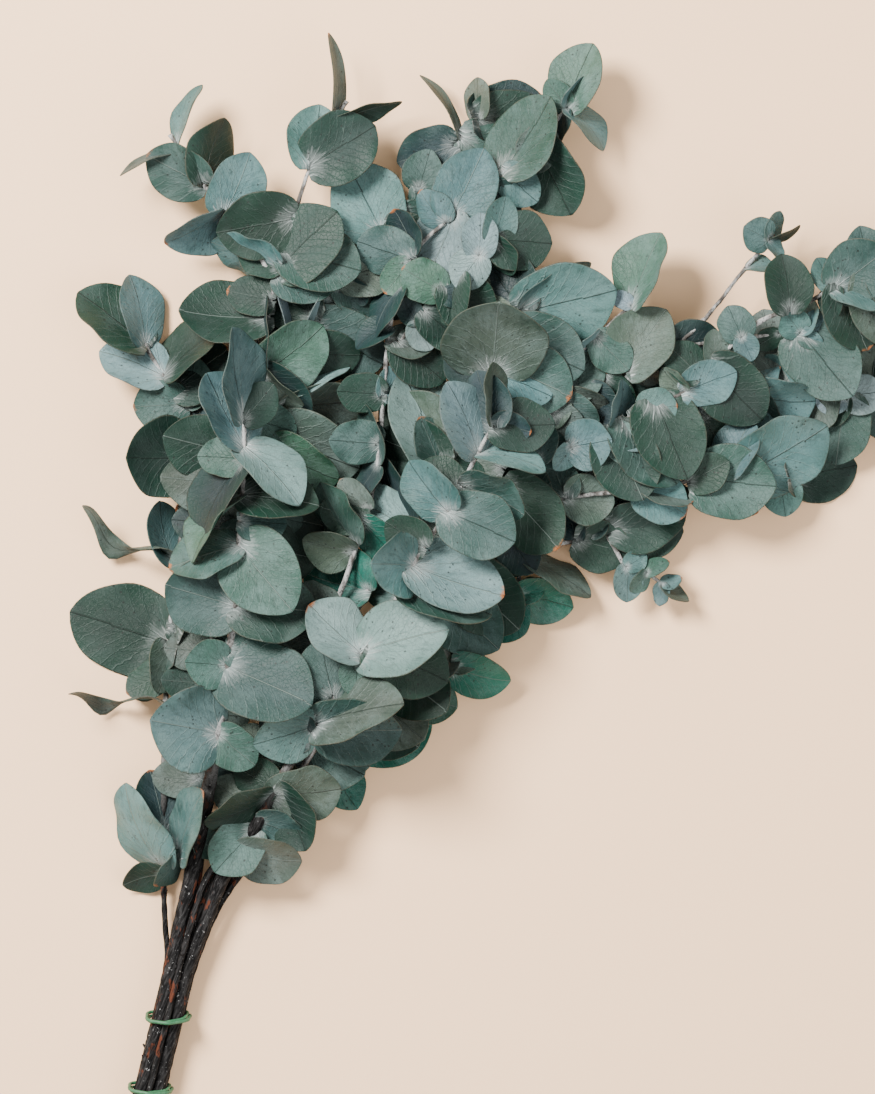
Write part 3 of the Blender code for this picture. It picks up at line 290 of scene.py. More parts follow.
# Leaves as seen from above: base x, y, tip x, y, seen width, tone, layer from 1 at the back
# to 5 at the front. The tones are silver, pale, grey, light, dark, blue, teal and olive.
# The tones were set leaf by leaf to each leaf's seen brightness, so besides its own colour they
# hold painted light and shade: the dark tone stands for shade at the back of the bunch, and paler
# tones make up for the shade on steeply tilted leaves.
LEAVES = {
    "stem_left_front": (
        (-169, -80, -206, -72, 46, "P", 4), (-169, -80, -148, -98, 24, "G", 3),
        (-164, -42, -187, -40, 27, "G", 3), (-164, -42, -116, -64, 42, "G", 5),
        (-159, -9, -198, 3, 42, "G", 4), (-159, -9, -113, -12, 38, "D", 3),
        (-157, 25, -127, -12, 42, "G", 5), (-157, 25, -196, 12, 24, "G", 3),
        (-155, 53, -112, 47, 28, "D", 4), (-155, 53, -183, 15, 14, "L", 3),
        (-154, 73, -178, 29, 24, "B", 3), (-154, 80, -175, 121, 27, "P", 4),
        (-154, 80, -123, 47, 26, "S", 5), (-154, 99, -160, 146, 22, "P", 5),
    ),
    "stem_upper_left": (
        (-144, 122, -142, 165, 14, "B", 3), (-144, 122, -110, 148, 30, "L", 3),
        (-144, 122, -121, 103, 12, "O", 4), (-144, 122, -117, 98, 22, "B", 2),
        (-141, 153, -191, 157, 34, "D", 3), (-135, 180, -102, 212, 38, "D", 4),
        (-135, 180, -173, 195, 20, "P", 1), (-135, 180, -158, 190, 16, "D", 1),
        (-127, 208, -170, 200, 34, "D", 4), (-127, 208, -112, 206, 14, "G", 1),
        (-117, 238, -81, 260, 38, "D", 4), (-117, 238, -112, 272, 30, "P", 2),
        (-104, 262, -107, 312, 7, "O", 4), (-104, 262, -66, 273, 8, "D", 4),
        (-165, 211, -199, 194, 18, "P", 3), (-165, 211, -151, 245, 30, "P", 2),
        (-177, 227, -165, 264, 23, "D", 4), (-177, 227, -209, 244, 28, "G", 2),
        (-192, 249, -178, 283, 8, "P", 3), (-190, 247, -224, 232, 5, "O", 4),
    ),
    "stem_left_side": (
        (-200, -160, -223, -166, 16, "D", 2), (-203, -136, -208, -101, 28, "B", 2),
        (-199, -66, -254, -62, 13, "O", 3), (-198, -45, -221, -58, 20, "D", 1),
        (-197, -30, -253, -12, 48, "D", 1), (-197, -30, -203, -58, 20, "O", 3),
        (-193, 14, -248, 42, 16, "O", 3), (-193, 14, -202, 50, 16, "P", 2),
        (-184, 74, -220, 74, 44, "D", 3), (-184, 80, -176, 110, 22, "B", 2),
        (-188, 104, -217, 103, 28, "G", 2), (-188, 104, -182, 131, 26, "G", 2),
        (-200, 120, -236, 134, 27, "S", 2), (-200, 120, -165, 150, 17, "D", 3),
        (-212, 141, -248, 167, 30, "D", 3), (-212, 141, -219, 177, 22, "P", 2),
        (-192, -150, -177, -112, 19, "P", 4), (-190, -147, -205, -166, 10, "G", 3),
        (-213, -156, -221, -108, 25, "P", 3), (-183, -135, -164, -122, 14, "O", 4),
    ),
    "stem_top_middle": (
        (-124, 134, -134, 172, 14, "S", 2), (-124, 134, -89, 132, 28, "D", 2),
        (-120, 145, -108, 170, 12, "S", 3), (-100, 175, -70, 183, 28, "O", 3),
        (-100, 175, -86, 160, 14, "B", 2), (-77, 200, -97, 240, 40, "P", 2),
        (-56, 225, -50, 247, 22, "G", 3), (-56, 225, -50, 212, 12, "B", 2),
        (-37, 249, -69, 240, 28, "B", 2), (-33, 253, -56, 289, 5, "O", 3),
        (-21, 268, 14, 276, 26, "B", 3), (-21, 268, -24, 288, 14, "O", 1),
        (-130, 110, -95, 127, 18, "S", 4), (-132, 100, -81, 106, 16, "O", 3),
        (-136, 88, -90, 68, 40, "O", 3), (-138, 80, -101, 62, 26, "L", 4),
        (-132, 100, -108, 114, 20, "D", 2),
    ),
    "stem_top_right": (
        (-80, 70, -88, 104, 14, "G", 2), (-80, 70, -92, 52, 12, "B", 1),
        (-76.5, 108, -64, 126, 16, "P", 2), (-74, 140, -48, 136, 18, "O", 3),
        (-73, 148, -92, 135, 14, "B", 2), (-66, 171, -82, 140, 13, "B", 3),
        (-62, 183, -76, 166, 18, "L", 3), (-60, 188, -71, 213, 17, "B", 3),
        (-37.5, 210, -53, 174, 33, "S", 5), (-37.5, 210, -20, 247, 34, "P", 4),
        (-42, 206, -56, 224, 18, "P", 3), (-9.5, 235, 17, 276, 34, "G", 5),
        (-9.5, 235, 10, 217, 22, "P", 4), (14, 257, 5, 233, 22, "O", 3),
        (17, 243, 29, 210, 33, "D", 2), (29, 273, 41, 306, 27, "L", 4),
        (29, 273, 15, 286, 16, "L", 3), (26, 269, 18, 248, 12, "B", 2),
        (29, 273, 47, 246, 14, "P", 3), (29, 273, 40, 288, 12, "S", 5),
        (-58, 150, -50, 134, 18, "S", 4), (-58, 150, -66, 163, 14, "B", 3),
        (-44, 167, -66, 180, 24, "L", 4), (-44, 167, -29, 162, 14, "B", 3),
        (-23, 187, -22, 211, 20, "S", 5), (-23, 187, -36, 169, 22, "S", 5),
        (-12, 199, -8, 220, 18, "P", 4), (-12, 199, -4, 176, 16, "D", 2),
        (-9, 194, 18, 194, 33, "D", 1), (-34, 177, -40, 147, 20, "D", 2),
        (-92, 25, -112, 60, 20, "G", 2), (-93, 22, -122, 28, 20, "O", 2),
        (-86, 45, -101, 62, 16, "O", 3), (-88, 38, -66, 18, 18, "T", 2),
    ),
    "stem_centre_round": (
        (-44, 67, -66, 122, 40, "S", 2), (-44, 67, -56, 97, 22, "G", 3),
        (-16, 121, -12, 160, 56, "O", 4), (-16, 121, 18, 108, 28, "P", 3),
        (1.5, 160, 54, 168, 42, "P", 4), (1.5, 160, 40, 183, 14, "P", 1),
        (-60, 35, -78, 76, 20, "B", 4), (-60, 35, -93, 52, 28, "S", 3),
        (-60, 35, -38, 28, 22, "O", 2), (-85, 0, -121, 10, 24, "T", 2),
        (-85, 0, -94, 24, 16, "T", 2),
    ),
    "stem_front_centre": (
        (-66, 2, -16, -14, 30, "G", 3), (-60, 14, -83, 15, 38, "P", 4),
        (-60, 14, -9, -3, 36, "S", 3), (-40.5, 44, -62, 72, 26, "P", 4),
        (-40.5, 44, -3, 27, 36, "G", 5), (-33, 58, 2, 42, 28, "G", 3),
        (-24, 76, -41, 116, 27, "S", 5), (-24, 76, 14, 66, 14, "P", 5),
        (-13, 95, -15, 127, 12, "O", 5), (-13, 95, 6, 88, 18, "B", 4),
    ),
    "stem_centre_low": (
        (-163, -127, -171, -158, 29, "G", 5), (-158, -145, -122, -152, 25, "O", 4),
        (-139, -115, -177, -130, 20, "D", 4), (-139, -115, -100, -111, 30, "O", 4),
        (-137, -110, -120, -146, 20, "D", 2), (-116, -74, -149, -86, 27, "P", 4),
        (-118, -82, -146, -72, 24, "B", 2), (-114, -75, -65, -63, 29, "O", 5),
        (-114, -75, -66, -78, 28, "G", 4), (-104, -60, -112, -27, 32, "G", 3),
        (-88, -34, -40, -22, 38, "S", 5), (-88, -34, -118, -8, 30, "S", 4),
        (-90, -38, -92, -60, 18, "G", 3), (-152, -127, -121, -139, 22, "G", 2),
    ),
    "stem_low_right": (
        (-108, -93, -91, -123, 24, "T", 2), (-95, -82, -49, -74, 40, "T", 1),
        (-66, -56, -35, -66, 28, "L", 2), (-66, -56, -33, -33, 22, "O", 2),
        (-37, -43, -5, -51, 24, "T", 3), (-37, -43, -20, -32, 16, "O", 2),
        (-3, -4, -16, -29, 28, "T", 3), (-3, -4, 30, -10, 25, "T", 2),
        (-3, -4, 14, 4, 14, "T", 1), (2, 18, 40, -4, 14, "O", 2),
        (2, 18, -18, 12, 14, "D", 3), (32.5, 28, 63, 20, 28, "D", 2),
        (32.5, 28, 27, 44, 12, "B", 2), (40, 30, 48, 42, 12, "B", 2),
        (55, 35.6, 92, 33, 32, "D", 2), (60, 13, 60, -7, 16, "P", 3),
        (60, 13, 71, 20, 12, "P", 2), (71, 9.5, 62, -1, 9, "L", 4),
        (71, 9.5, 84, 16, 9, "L", 3), (83, 1, 78, -9, 9, "P", 3),
        (83, 1, 91, 7, 8, "P", 3), (83, 1, 95, -6, 8, "O", 2),
    ),
    "stem_right_upper": (
        (29, 110, 40, 133, 26, "G", 3), (29, 110, 50, 103, 14, "O", 3),
        (24, 106, 12, 90, 16, "O", 2), (59, 123, 82, 157, 34, "O", 4),
        (62, 124, 79, 117, 12, "O", 3), (84, 135, 112, 143, 25, "B", 3),
        (161, 144, 148, 156, 18, "P", 4), (161, 144, 178, 150, 20, "P", 3),
        (161, 144, 164, 163, 12, "P", 3), (161, 144, 169, 132, 14, "P", 3),
        (145, 143.8, 132, 136, 12, "D", 1), (126, 180, 145, 178, 8, "P", 3),
        (142, 199, 125, 203, 20, "P", 4), (142, 199, 146, 212, 9, "P", 3),
        (142, 199, 157, 204, 5, "D", 4), (142, 199, 147, 185, 8, "P", 3),
        (45, 144, 30, 134, 8, "S", 3), (65, 162, 79, 200, 24, "L", 4),
        (65, 162, 52, 166, 10, "S", 2), (10, 73, 16, 94, 18, "G", 2),
        (28, 80, 51, 84, 28, "P", 4), (28, 80, 19, 67, 12, "P", 4),
        (52, 90, 66, 70, 20, "S", 4), (52, 90, 72, 80, 15, "S", 5),
        (52, 90, 57, 118, 12, "P", 3), (67, 101, 88, 103, 22, "P", 5),
        (92, 111, 121, 122, 24, "P", 4), (92, 111, 79, 124, 12, "O", 3),
        (109, 128, 108, 146, 14, "O", 3), (124, 141, 116, 159, 20, "G", 3),
        (124, 141, 130, 128, 14, "P", 4), (151, 156, 146, 188, 26, "D", 3),
        (176, 169, 205, 190, 34, "G", 4), (176, 169, 208, 160, 22, "P", 3),
        (176, 169, 174, 151, 14, "D", 2), (176, 169, 166, 186, 16, "P", 3),
        (196, 178, 190, 204, 22, "G", 3), (205, 182, 240, 192, 28, "G", 4),
        (205, 182, 224, 208, 18, "L", 3), (205, 182, 228, 168, 16, "D", 2),
    ),
    "stem_right_lower": (
        (0, 38, 4, 20, 18, "D", 1), (10, 45, -10, 56, 16, "O", 2),
        (26.5, 52, 53, 49, 27, "O", 4), (63, 67, 64, 53, 8, "S", 4),
        (63, 67, 80, 92, 16, "G", 3), (84, 85, 96, 98, 22, "D", 2),
        (127, 109, 166, 106, 30, "P", 3), (127, 109, 146, 126, 16, "P", 2),
        (150, 113, 138, 132, 14, "P", 3), (163, 116, 186, 128, 24, "P", 4),
        (182.5, 108, 166, 104, 16, "S", 5), (182.5, 108, 205, 112, 22, "S", 4),
        (182.5, 108, 172, 92, 14, "D", 1), (182.5, 108, 190, 140, 16, "G", 2),
        (212, 104, 208, 128, 18, "P", 3), (200, 105, 206, 84, 20, "G", 3),
        (212, 104, 238, 118, 22, "G", 4), (212, 104, 230, 82, 20, "D", 2),
        (226, 100, 246, 97, 20, "P", 4), (68, 57.6, 93, 42, 27, "P", 4),
        (68, 57.6, 97, 50, 14, "O", 5), (62, 56.7, 50, 66, 12, "P", 4),
        (94.5, 61, 117, 72, 22, "D", 5), (100, 62, 143, 58, 40, "G", 4),
        (117, 65, 130, 96, 22, "P", 3), (125, 64.6, 172, 92, 36, "P", 5),
        (112, 64, 133, 43, 24, "D", 2), (146, 63.6, 149, 41, 22, "P", 2),
        (157, 63, 190, 70, 32, "D", 1),
    ),
}

# Leaves that bend down from their stem and lie on the surface, by base and tip
RESTING = (
    (-197, -30, -253, -12),
    (-95, -82, -49, -74),
    (-21, 268, 14, 276),
    (157, 63, 190, 70),
)

# Outline of the foliage as seen from above. Leaves of the back layer fill the gaps inside it.
OUTLINE = (
    (-223, -168), (-230, -140), (-223, -106), (-204, -99), (-206, -72), (-203, -50), (-196, -2),
    (-200, 9), (-189, 14), (-206, 38), (-197, 52), (-217, 74), (-201, 90), (-214, 108),
    (-192, 119), (-224, 124), (-236, 140), (-241, 166), (-212, 150), (-202, 146), (-190, 158),
    (-170, 174), (-150, 178), (-160, 178), (-173, 192), (-198, 194), (-188, 208), (-172, 216),
    (-184, 226), (-208, 244), (-180, 247), (-166, 263), (-154, 251), (-144, 242), (-141, 225),
    (-127, 221), (-122, 211), (-106, 211), (-108, 226), (-118, 240), (-132, 255), (-126, 269),
    (-112, 272), (-82, 259), (-85, 242), (-77, 236), (-66, 215), (-58, 225), (-69, 241),
    (-67, 253), (-50, 263), (-37, 256), (-36, 247), (-22, 250), (-17, 262), (-26, 276),
    (-10, 282), (10, 277), (22, 288), (38, 305), (46, 290), (46, 250), (26, 252), (17, 242),
    (29, 244), (38, 228), (34, 212), (10, 210), (18, 200), (8, 181), (20, 184), (40, 183),
    (54, 168), (48, 147), (82, 157), (84, 150), (100, 150), (112, 143), (118, 156), (131, 152),
    (134, 170), (146, 186), (158, 172), (160, 160), (172, 158), (169, 182), (178, 196),
    (240, 198), (240, 100), (200, 96), (190, 70), (168, 47), (157, 54), (150, 42), (118, 38),
    (100, 50), (90, 32), (72, 20), (60, 21), (48, 9), (26, 10), (22, 20), (12, 4), (28, -9),
    (0, -30), (-6, -50), (-34, -50), (-34, -65), (-56, -90), (-78, -98), (-92, -121),
    (-104, -112), (-120, -130), (-122, -152), (-136, -159), (-190, -161), (-205, -169),
)
# Openings inside the outline where the surface is seen: centre x, y and radius
OPENINGS = ((-62, 131, 8), (-94, 128, 5), (-96, 162, 5), (-128, 173, 4), (40, 137, 4),
            (21, 108, 4))
GAP_STEP = 21.0
FINE_GAP_STEP = 9.0
GAP_REACH = 52.0
GAP_OVERSHOOT = 13.0
LONGEST_FILL = 46.0
SHORTEST_FILL = 26.0
NEAREST_FILL = 6.0
FILL_WIDTH = 0.84
# Tones of the back-layer fill leaves; the dark tone among them is painted shade between the leaves
# in front.
FILL_TONES = "DGOGDBGDOG"
# Points across and along a leaf that tell whether it stays inside the outline
RIM_POINTS = ((0, 1.0), (-0.9, 0.5), (0.9, 0.5), (-0.8, 0.8), (0.8, 0.8), (0, 0.6))


def width_share(along):
    """Half width of a blade, as a share of its widest half: round base, ovate, short point."""
    along = min(max(along, 0.0), 1.0)
    return max(math.sin(math.pi * along**0.86), 0.0) ** 0.72


class Leaf:
    """One leaf: where its root and tip are, its size and its bends, all in millimetres."""

    def __init__(self, row, root, number):
        draw = random.Random(number)
        base_x, base_y, tip_x, tip_y, seen_width, self.tone, self.layer = row
        seen_width *= WIDER
        self.base = Vector((base_x, base_y))
        self.tip = Vector((tip_x, tip_y))
        self.rests = (base_x, base_y, tip_x, tip_y) in RESTING
        self.root = root
        self.seen_length = math.hypot(tip_x - root.x, tip_y - root.y)
        self.heading = math.atan2(tip_y - root.y, tip_x - root.x)
        ratio = NATURAL_RATIO + draw.uniform(-0.06, 0.06)
        natural = min(ratio * self.seen_length, NARROWEST * seen_width)
        self.width = max(natural, min(seen_width, 1.6 * self.seen_length))
        length = max(self.seen_length, self.width / 1.15)
        facing_up = 1 if self.layer >= 3 else -1
        self.first_pitch = facing_up * math.degrees(math.acos(self.seen_length / length))
        self.first_pitch += 3.0 * (self.layer - 2.6)
        share = min(max(seen_width / self.width, 0.30), 1.0)
        self.first_roll = math.degrees(math.acos(share)) * draw.choice((-1, 1))
        self.fold = draw.uniform(0.10, 0.28)
        self.arch = draw.uniform(0.02, 0.10) * draw.choice((-1, 1, 1))
        self.twist = math.radians(draw.uniform(-14, 14))
        self.plain = self.layer < 2
        if self.rests or self.plain:
            self.fold = self.arch = self.twist = 0.0
        self.shrink = 1.0
        self.pose(self.first_pitch, self.first_roll)

    def pose(self, pitch, roll):
        """Tilts the leaf: pitch raises its tip, roll leans it over its midrib."""
        self.pitch, self.roll = pitch, roll
        self.length = self.shrink * self.seen_length / math.cos(math.radians(pitch))
        turn = Matrix.Rotation(self.heading - math.pi / 2, 4, "Z")
        tilt = Matrix.Rotation(math.radians(pitch), 4, "X")
        lean = Matrix.Rotation(math.radians(roll), 4, "Y")
        self.matrix = Matrix.Translation(self.root) @ turn @ tilt @ lean

    def point(self, across, along, margin=0.0):
        """Point of the blade's underside. across runs from -1 to 1, along from root to tip."""
        half = self.shrink * self.width / 2 * width_share(along)
        half = half + margin * math.sin(math.pi * along)
        side = across * half
        if self.rests:
            drop = max(1 - along / REST_BEND, 0.0) ** 1.5
            flat = Matrix.Rotation(self.heading - math.pi / 2, 4, "Z")
            spot = flat @ Vector((side, along * self.seen_length, 0.0))
            return Vector((self.root.x + spot.x, self.root.y + spot.y, self.root.z * drop))
        rise = self.fold * abs(side) + 4 * self.arch * self.length * along * (1 - along)
        turned = self.twist * (along - 0.4)
        x = side * math.cos(turned) - rise * math.sin(turned)
        z = side * math.sin(turned) + rise * math.cos(turned)
        return self.matrix @ Vector((x, along * self.length, z))


def blade_solid(leaf, margin=0.0):
    """A thin closed blade of few faces. margin swells it on all sides for a clearance test."""
    rows = BIG_ROWS if leaf.seen_length > SMALL_LENGTH else SMALL_ROWS
    halves = 1 if leaf.plain else 2
    bm = bmesh.new()
    bmesh.ops.create_grid(bm, x_segments=halves, y_segments=len(rows) - 1, size=1.0)
    for vert in bm.verts:
        row = round((vert.co.y + 1) / 2 * (len(rows) - 1))
        vert.co = leaf.point(round(vert.co.x), rows[row], margin)
    bmesh.ops.remove_doubles(bm, verts=bm.verts, dist=0.02)
    bmesh.ops.triangulate(bm, faces=bm.faces, quad_method="FIXED")
    bm.normal_update()
    for vert in bm.verts:
        vert.co -= vert.normal * margin
    thickness = BLADE_THICKNESS + 2 * margin
    bmesh.ops.solidify(bm, geom=bm.faces[:], thickness=-thickness)
    bmesh.ops.recalc_face_normals(bm, faces=bm.faces)
    return bm


class Placed:
    """Solids that already have their place, with the boxes that they fill."""

    def __init__(self):
        self.items = []

    def add(self, owner, bm):
        tree = BVHTree.FromBMesh(bm)
        low, high = box_of(bm)
        self.items.append((owner, tree, low, high))

    def near(self, low, high):
        """The placed solids whose boxes overlap this one."""
        for owner, tree, other_low, other_high in self.items:
            if all(other_low[i] < high[i] and low[i] < other_high[i] for i in range(3)):
                yield owner, tree

    def above(self, points, low, high):
        """How many of the points have a placed leaf over them."""
        high = (high[0], high[1], math.inf)
        trees = [tree for _, tree in self.near(low, high)]
        up = Vector((0, 0, 1))
        return sum(any(tree.ray_cast(spot, up)[0] for tree in trees) for spot in points)

    def covers(self, x, y):
        """True where a placed leaf hides the surface at this place, as seen from above."""
        start, down = Vector((x, y, ABOVE_ALL)), Vector((0, 0, -1))
        found = self.near((x - 0.5, y - 0.5, 0.0), (x + 0.5, y + 0.5, ABOVE_ALL))
        return any(tree.ray_cast(start, down)[0] for _, tree in found)


def box_of(bm):
    """Lowest and highest corner of the box round a mesh."""
    spots = [vert.co for vert in bm.verts]
    low = tuple(min(spot[i] for spot in spots) for i in range(3))
    high = tuple(max(spot[i] for spot in spots) for i in range(3))
    return low, high


def poses(leaf):
    """Poses to try, from the one that looks as seen to those that differ more."""
    if leaf.rests:
        return [(0.0, 0.0, 0.0)]
    found = []
    for turn in (0, 6, -6, 12, -12, 18, -18, 25, -25, 32, -32, 40, -40):
        for side in (1, -1):
            for more in (0, 9, -9, 18, -18):
                pitch = leaf.first_pitch + turn
                roll = side * (leaf.first_roll + more)
                if abs(pitch) < STEEPEST_PITCH and abs(roll) < STEEPEST_ROLL:
                    cost = abs(turn) + 0.6 * abs(more) + (side < 0)
                    found.append((cost, pitch, roll))
    return sorted(found)


def seat_leaf(leaf, owner, placed):
    """Gives the leaf the nearest pose that touches no other stem's leaves."""
    for leaf.shrink in SHRINKS:
        best = None
        for cost, pitch, roll in poses(leaf):
            if best and cost >= best[0]:
                break
            leaf.pose(pitch, roll)
            bm = blade_solid(leaf, BLADE_CLEARANCE)
            low, high = box_of(bm)
            if not leaf.rests and low[2] < FLOOR_CLEARANCE:
                bm.free()
                continue
            tree = BVHTree.FromBMesh(bm)
            crossed = [other for other, solid in placed.near(low, high) if tree.overlap(solid)]
            if all(other == owner for other in crossed):
                tops = [vert.co.copy() for vert in bm.verts]
                hidden = placed.above(tops, low, high)
                cost += CROSSING_COST * max(len(crossed) - 1, 0) + HIDDEN_COST * hidden
                if best is None or cost < best[0]:
                    best = (cost, pitch, roll)
            bm.free()
        if best:
            leaf.pose(*best[1:])
            return True
    return False


def inside_outline(x, y):
    """True where a ray to the right crosses the outline an odd number of times."""
    crossings = 0
    for (ax, ay), (bx, by) in zip(OUTLINE, OUTLINE[1:] + OUTLINE[:1]):
        if (ay > y) != (by > y) and x < ax + (bx - ax) * (y - ay) / (by - ay):
            crossings += 1
    return crossings % 2 == 1


def stays_inside(leaf):
    """True where the rim of the leaf stays inside the outline and off its openings."""
    for across, along in RIM_POINTS:
        x, y, _ = leaf.point(across, along)
        if not inside_outline(x, y):
            return False
        if any(math.hypot(x - a, y - b) < radius for a, b, radius in OPENINGS):
            return False
    return True


def gaps(placed, step):
    """Places inside the outline where the surface would still show between the leaves."""
    low_x, high_x = min(x for x, _ in OUTLINE), max(x for x, _ in OUTLINE)
    low_y, high_y = min(y for _, y in OUTLINE), max(y for _, y in OUTLINE)
    for row in range(int((high_y - low_y) / step) + 1):
        for column in range(int((high_x - low_x) / step) + 1):
            x = low_x + (column + 0.5 * (row % 2)) * step
            y = low_y + row * step
            if inside_outline(x, y) and not placed.covers(x, y):
                yield x, y


def fill_rows(x, y, routes):
    """Leaves that could grow from a nearby stem to cover a gap, the shortest first."""
    found = []
    for name, own in routes.items():
        root = nearest_on_route(own, x, y)
        reach = math.hypot(x - root.x, y - root.y)
        if NEAREST_FILL < reach < GAP_REACH:
            found.append((reach, name, root))
    for reach, name, root in sorted(found, key=lambda item: item[:2]):
        length = min(max(reach + GAP_OVERSHOOT, SHORTEST_FILL), LONGEST_FILL)
        share = length / reach
        tip_x, tip_y = root.x + (x - root.x) * share, root.y + (y - root.y) * share
        yield name, root, (root.x, root.y, tip_x, tip_y, FILL_WIDTH * length)


def fill_gaps(placed, seated, step):
    """Back-layer leaves where the surface shows through, from the nearest stem that can."""
    routes = {name: all_routes(name) for name in SLOTS}
    number = round(1000 * step)
    for x, y in list(gaps(placed, step)):
        if placed.covers(x, y):
            continue
        for name, root, row in fill_rows(x, y, routes):
            number += 1
            leaf = Leaf((*row, FILL_TONES[number % len(FILL_TONES)], 1), root, number)
            if stays_inside(leaf) and seat_leaf(leaf, name, placed):
                seated[name].append(leaf)
                placed.add(name, blade_solid(leaf))
                break


def seat_all(placed):
    """Every leaf that finds a clear place: large ones first, then those that only fill in."""
    waiting = []
    for name, rows in LEAVES.items():
        routes = all_routes(name)
        for number, row in enumerate(rows):
            root = nearest_on_route(routes, row[0], row[1])
            waiting.append((name, Leaf(row, root, 1000 * len(name) + number)))
    waiting.sort(key=lambda item: (not item[1].rests, item[1].layer))
    seated = {name: [] for name in LEAVES}
    for smaller, step in ((False, GAP_STEP), (True, FINE_GAP_STEP)):
        for name, leaf in waiting:
            if (leaf.seen_length < LEAST_LENGTH) == smaller and seat_leaf(leaf, name, placed):
                seated[name].append(leaf)
                placed.add(name, blade_solid(leaf))
        fill_gaps(placed, seated, step)
    return seated


placed = Placed()
for name in SLOTS:
    for number, route in enumerate(all_routes(name)):
        radii = route_radii(route, *tube_size(name, number, TWIG_THINNER))
        coarse = tube_mesh(name, route, radii)
        bm = bmesh.new()
        bm.from_mesh(coarse)
        placed.add(name, bm)
        bm.free()
        bpy.data.meshes.remove(coarse)
seated = seat_all(placed)


# Bark
# The stems' skin: dark brown and black on the bare lower stems, where it peels in reddish
# patches, and pale grey with dark mottling on the thin upper ones. The tubes swell at each
# pair of leaves and are slightly crooked.


class Signal:
    """A socket on which Python arithmetic adds Math nodes."""

    def __init__(self, tree, socket):
        self.tree = tree
        self.socket = socket

    def math(self, operation, *values):
        """A Math node on the values, each a Signal or a number."""
        node = self.tree.nodes.new("ShaderNodeMath")
        node.operation = operation
        for slot, value in zip(node.inputs, values):
            if isinstance(value, Signal):
                self.tree.links.new(value.socket, slot)
            else:
                slot.default_value = value
        return Signal(self.tree, node.outputs[0])

    def __add__(self, other):
        return self.math("ADD", self, other)

    __radd__ = __add__

    def __sub__(self, other):
        return self.math("SUBTRACT", self, other)

    def __rsub__(self, other):
        return self.math("SUBTRACT", other, self)

    def __mul__(self, other):
        return self.math("MULTIPLY", self, other)

    __rmul__ = __mul__

    def __abs__(self):
        return self.math("ABSOLUTE", self)

    def fraction(self):
        return self.math("FRACT", self)

    def clamp(self):
        return self.math("MINIMUM", self.math("MAXIMUM", self, 0.0), 1.0)

    def ramp(self, low, high):
        """0 below low, 1 above high, and even between them. low may be the larger."""
        return ((self - low) * (1.0 / (high - low))).clamp()


class Finish:
    """A material in the making, around one Principled shader."""

    def __init__(self, name):
        self.material = bpy.data.materials.new(name)
        self.material.use_nodes = True
        self.tree = self.material.node_tree
        self.shader = self.tree.nodes["Principled BSDF"]

    def node(self, kind, settings, inputs, output=0):
        """A new node with its settings and inputs. Gives one of its outputs."""
        node = self.tree.nodes.new(kind)
        for key, value in settings.items():
            setattr(node, key, value)
        self.fill(node, inputs)
        return Signal(self.tree, node.outputs[output])

    def fill(self, node, inputs):
        for key, value in inputs.items():
            if isinstance(value, Signal):
                self.tree.links.new(value.socket, node.inputs[key])
            else:
                node.inputs[key].default_value = value

    def attribute(self, name, output="Fac"):
        return self.node("ShaderNodeAttribute", {"attribute_name": name}, {}, output)

    def place(self):
        return self.node("ShaderNodeTexCoord", {}, {}, "Object")

    def noise(self, where, scale, detail=2.0, roughness=0.5):
        values = {"Vector": where, "Scale": scale, "Detail": detail, "Roughness": roughness}
        return self.node("ShaderNodeTexNoise", {}, values, "Fac")

    def mix(self, share, first, second):
        """From the first colour to the second."""
        settings = {"data_type": "RGBA", "clamp_factor": True}
        return self.node("ShaderNodeMix", settings, {0: share, 6: first, 7: second}, 2)

    def bump(self, height, strength, distance):
        values = {"Height": height, "Strength": strength, "Distance": distance}
        return self.node("ShaderNodeBump", {}, values, "Normal")

    def paint(self, **inputs):
        self.fill(self.shader, {key.replace("_", " "): value for key, value in inputs.items()})
        return self.material


STATION = 4.0
KINK = 0.35
NODE_SWELL = 0.45
STUBS = 5
BARE_END = -140.0
NODE_REACH = 3.0
UNEVEN_SIZE = 0.22
UNEVEN_SCALE = 0.55
BUNDLE_TURN = -0.42
FINE_TWIG_THINNER = 0.15


def smooth_route(points):
    """Even stations along a smooth curve through the points."""
    ends = [2 * points[0] - points[1], *points, 2 * points[-1] - points[-2]]
    stations = []
    for a, b, c, d in zip(ends, ends[1:], ends[2:], ends[3:]):
        steps = max(round((c - b).length / STATION), 1)
        for step in range(steps):
            t = step / steps
            curved = 2 * b + (c - a) * t + (2 * a - 5 * b + 4 * c - d) * t**2
            stations.append((curved + (3 * b - a - 3 * c + d) * t**3) / 2)
    return stations + [points[-1]]


def bark_offset(place):
    """A small offset that is the same each time for the same place."""
    apart = Vector((31.7, 17.3, 53.9))
    spots = [place * UNEVEN_SCALE + apart * axis for axis in range(3)]
    return Vector([noise.noise(spot) for spot in spots]) * UNEVEN_SIZE


def bark_tube(name, route, thick, thin, straight):
    """A fine, slightly rough tube with swellings at its leaf pairs."""
    stations = smooth_route(route)
    draw = random.Random(name + "bark")
    coarse = route_radii(route, thick, thin, straight)
    marks = kdtree.KDTree(len(route))
    for number, point in enumerate(route):
        marks.insert(point, number)
    marks.balance()
    radii = []
    for station in stations:
        (_, first, near), (_, second, far) = marks.find_n(station, 2)
        radius = (coarse[first] * far + coarse[second] * near) / (near + far)
        swell = NODE_SWELL * math.exp(-((near / NODE_REACH) ** 2)) if first >= straight else 0.0
        radii.append(radius + swell * 0.6 + draw.uniform(-0.08, 0.08) * radius)
    places = [
        station + Vector((draw.uniform(-KINK, KINK), draw.uniform(-KINK, KINK), 0.0)) * 0.5
        for station in stations
    ]
    mesh = tube_mesh(name, places, radii, sides=4)
    for vert in mesh.vertices:
        vert.co += bark_offset(vert.co)
    return mesh


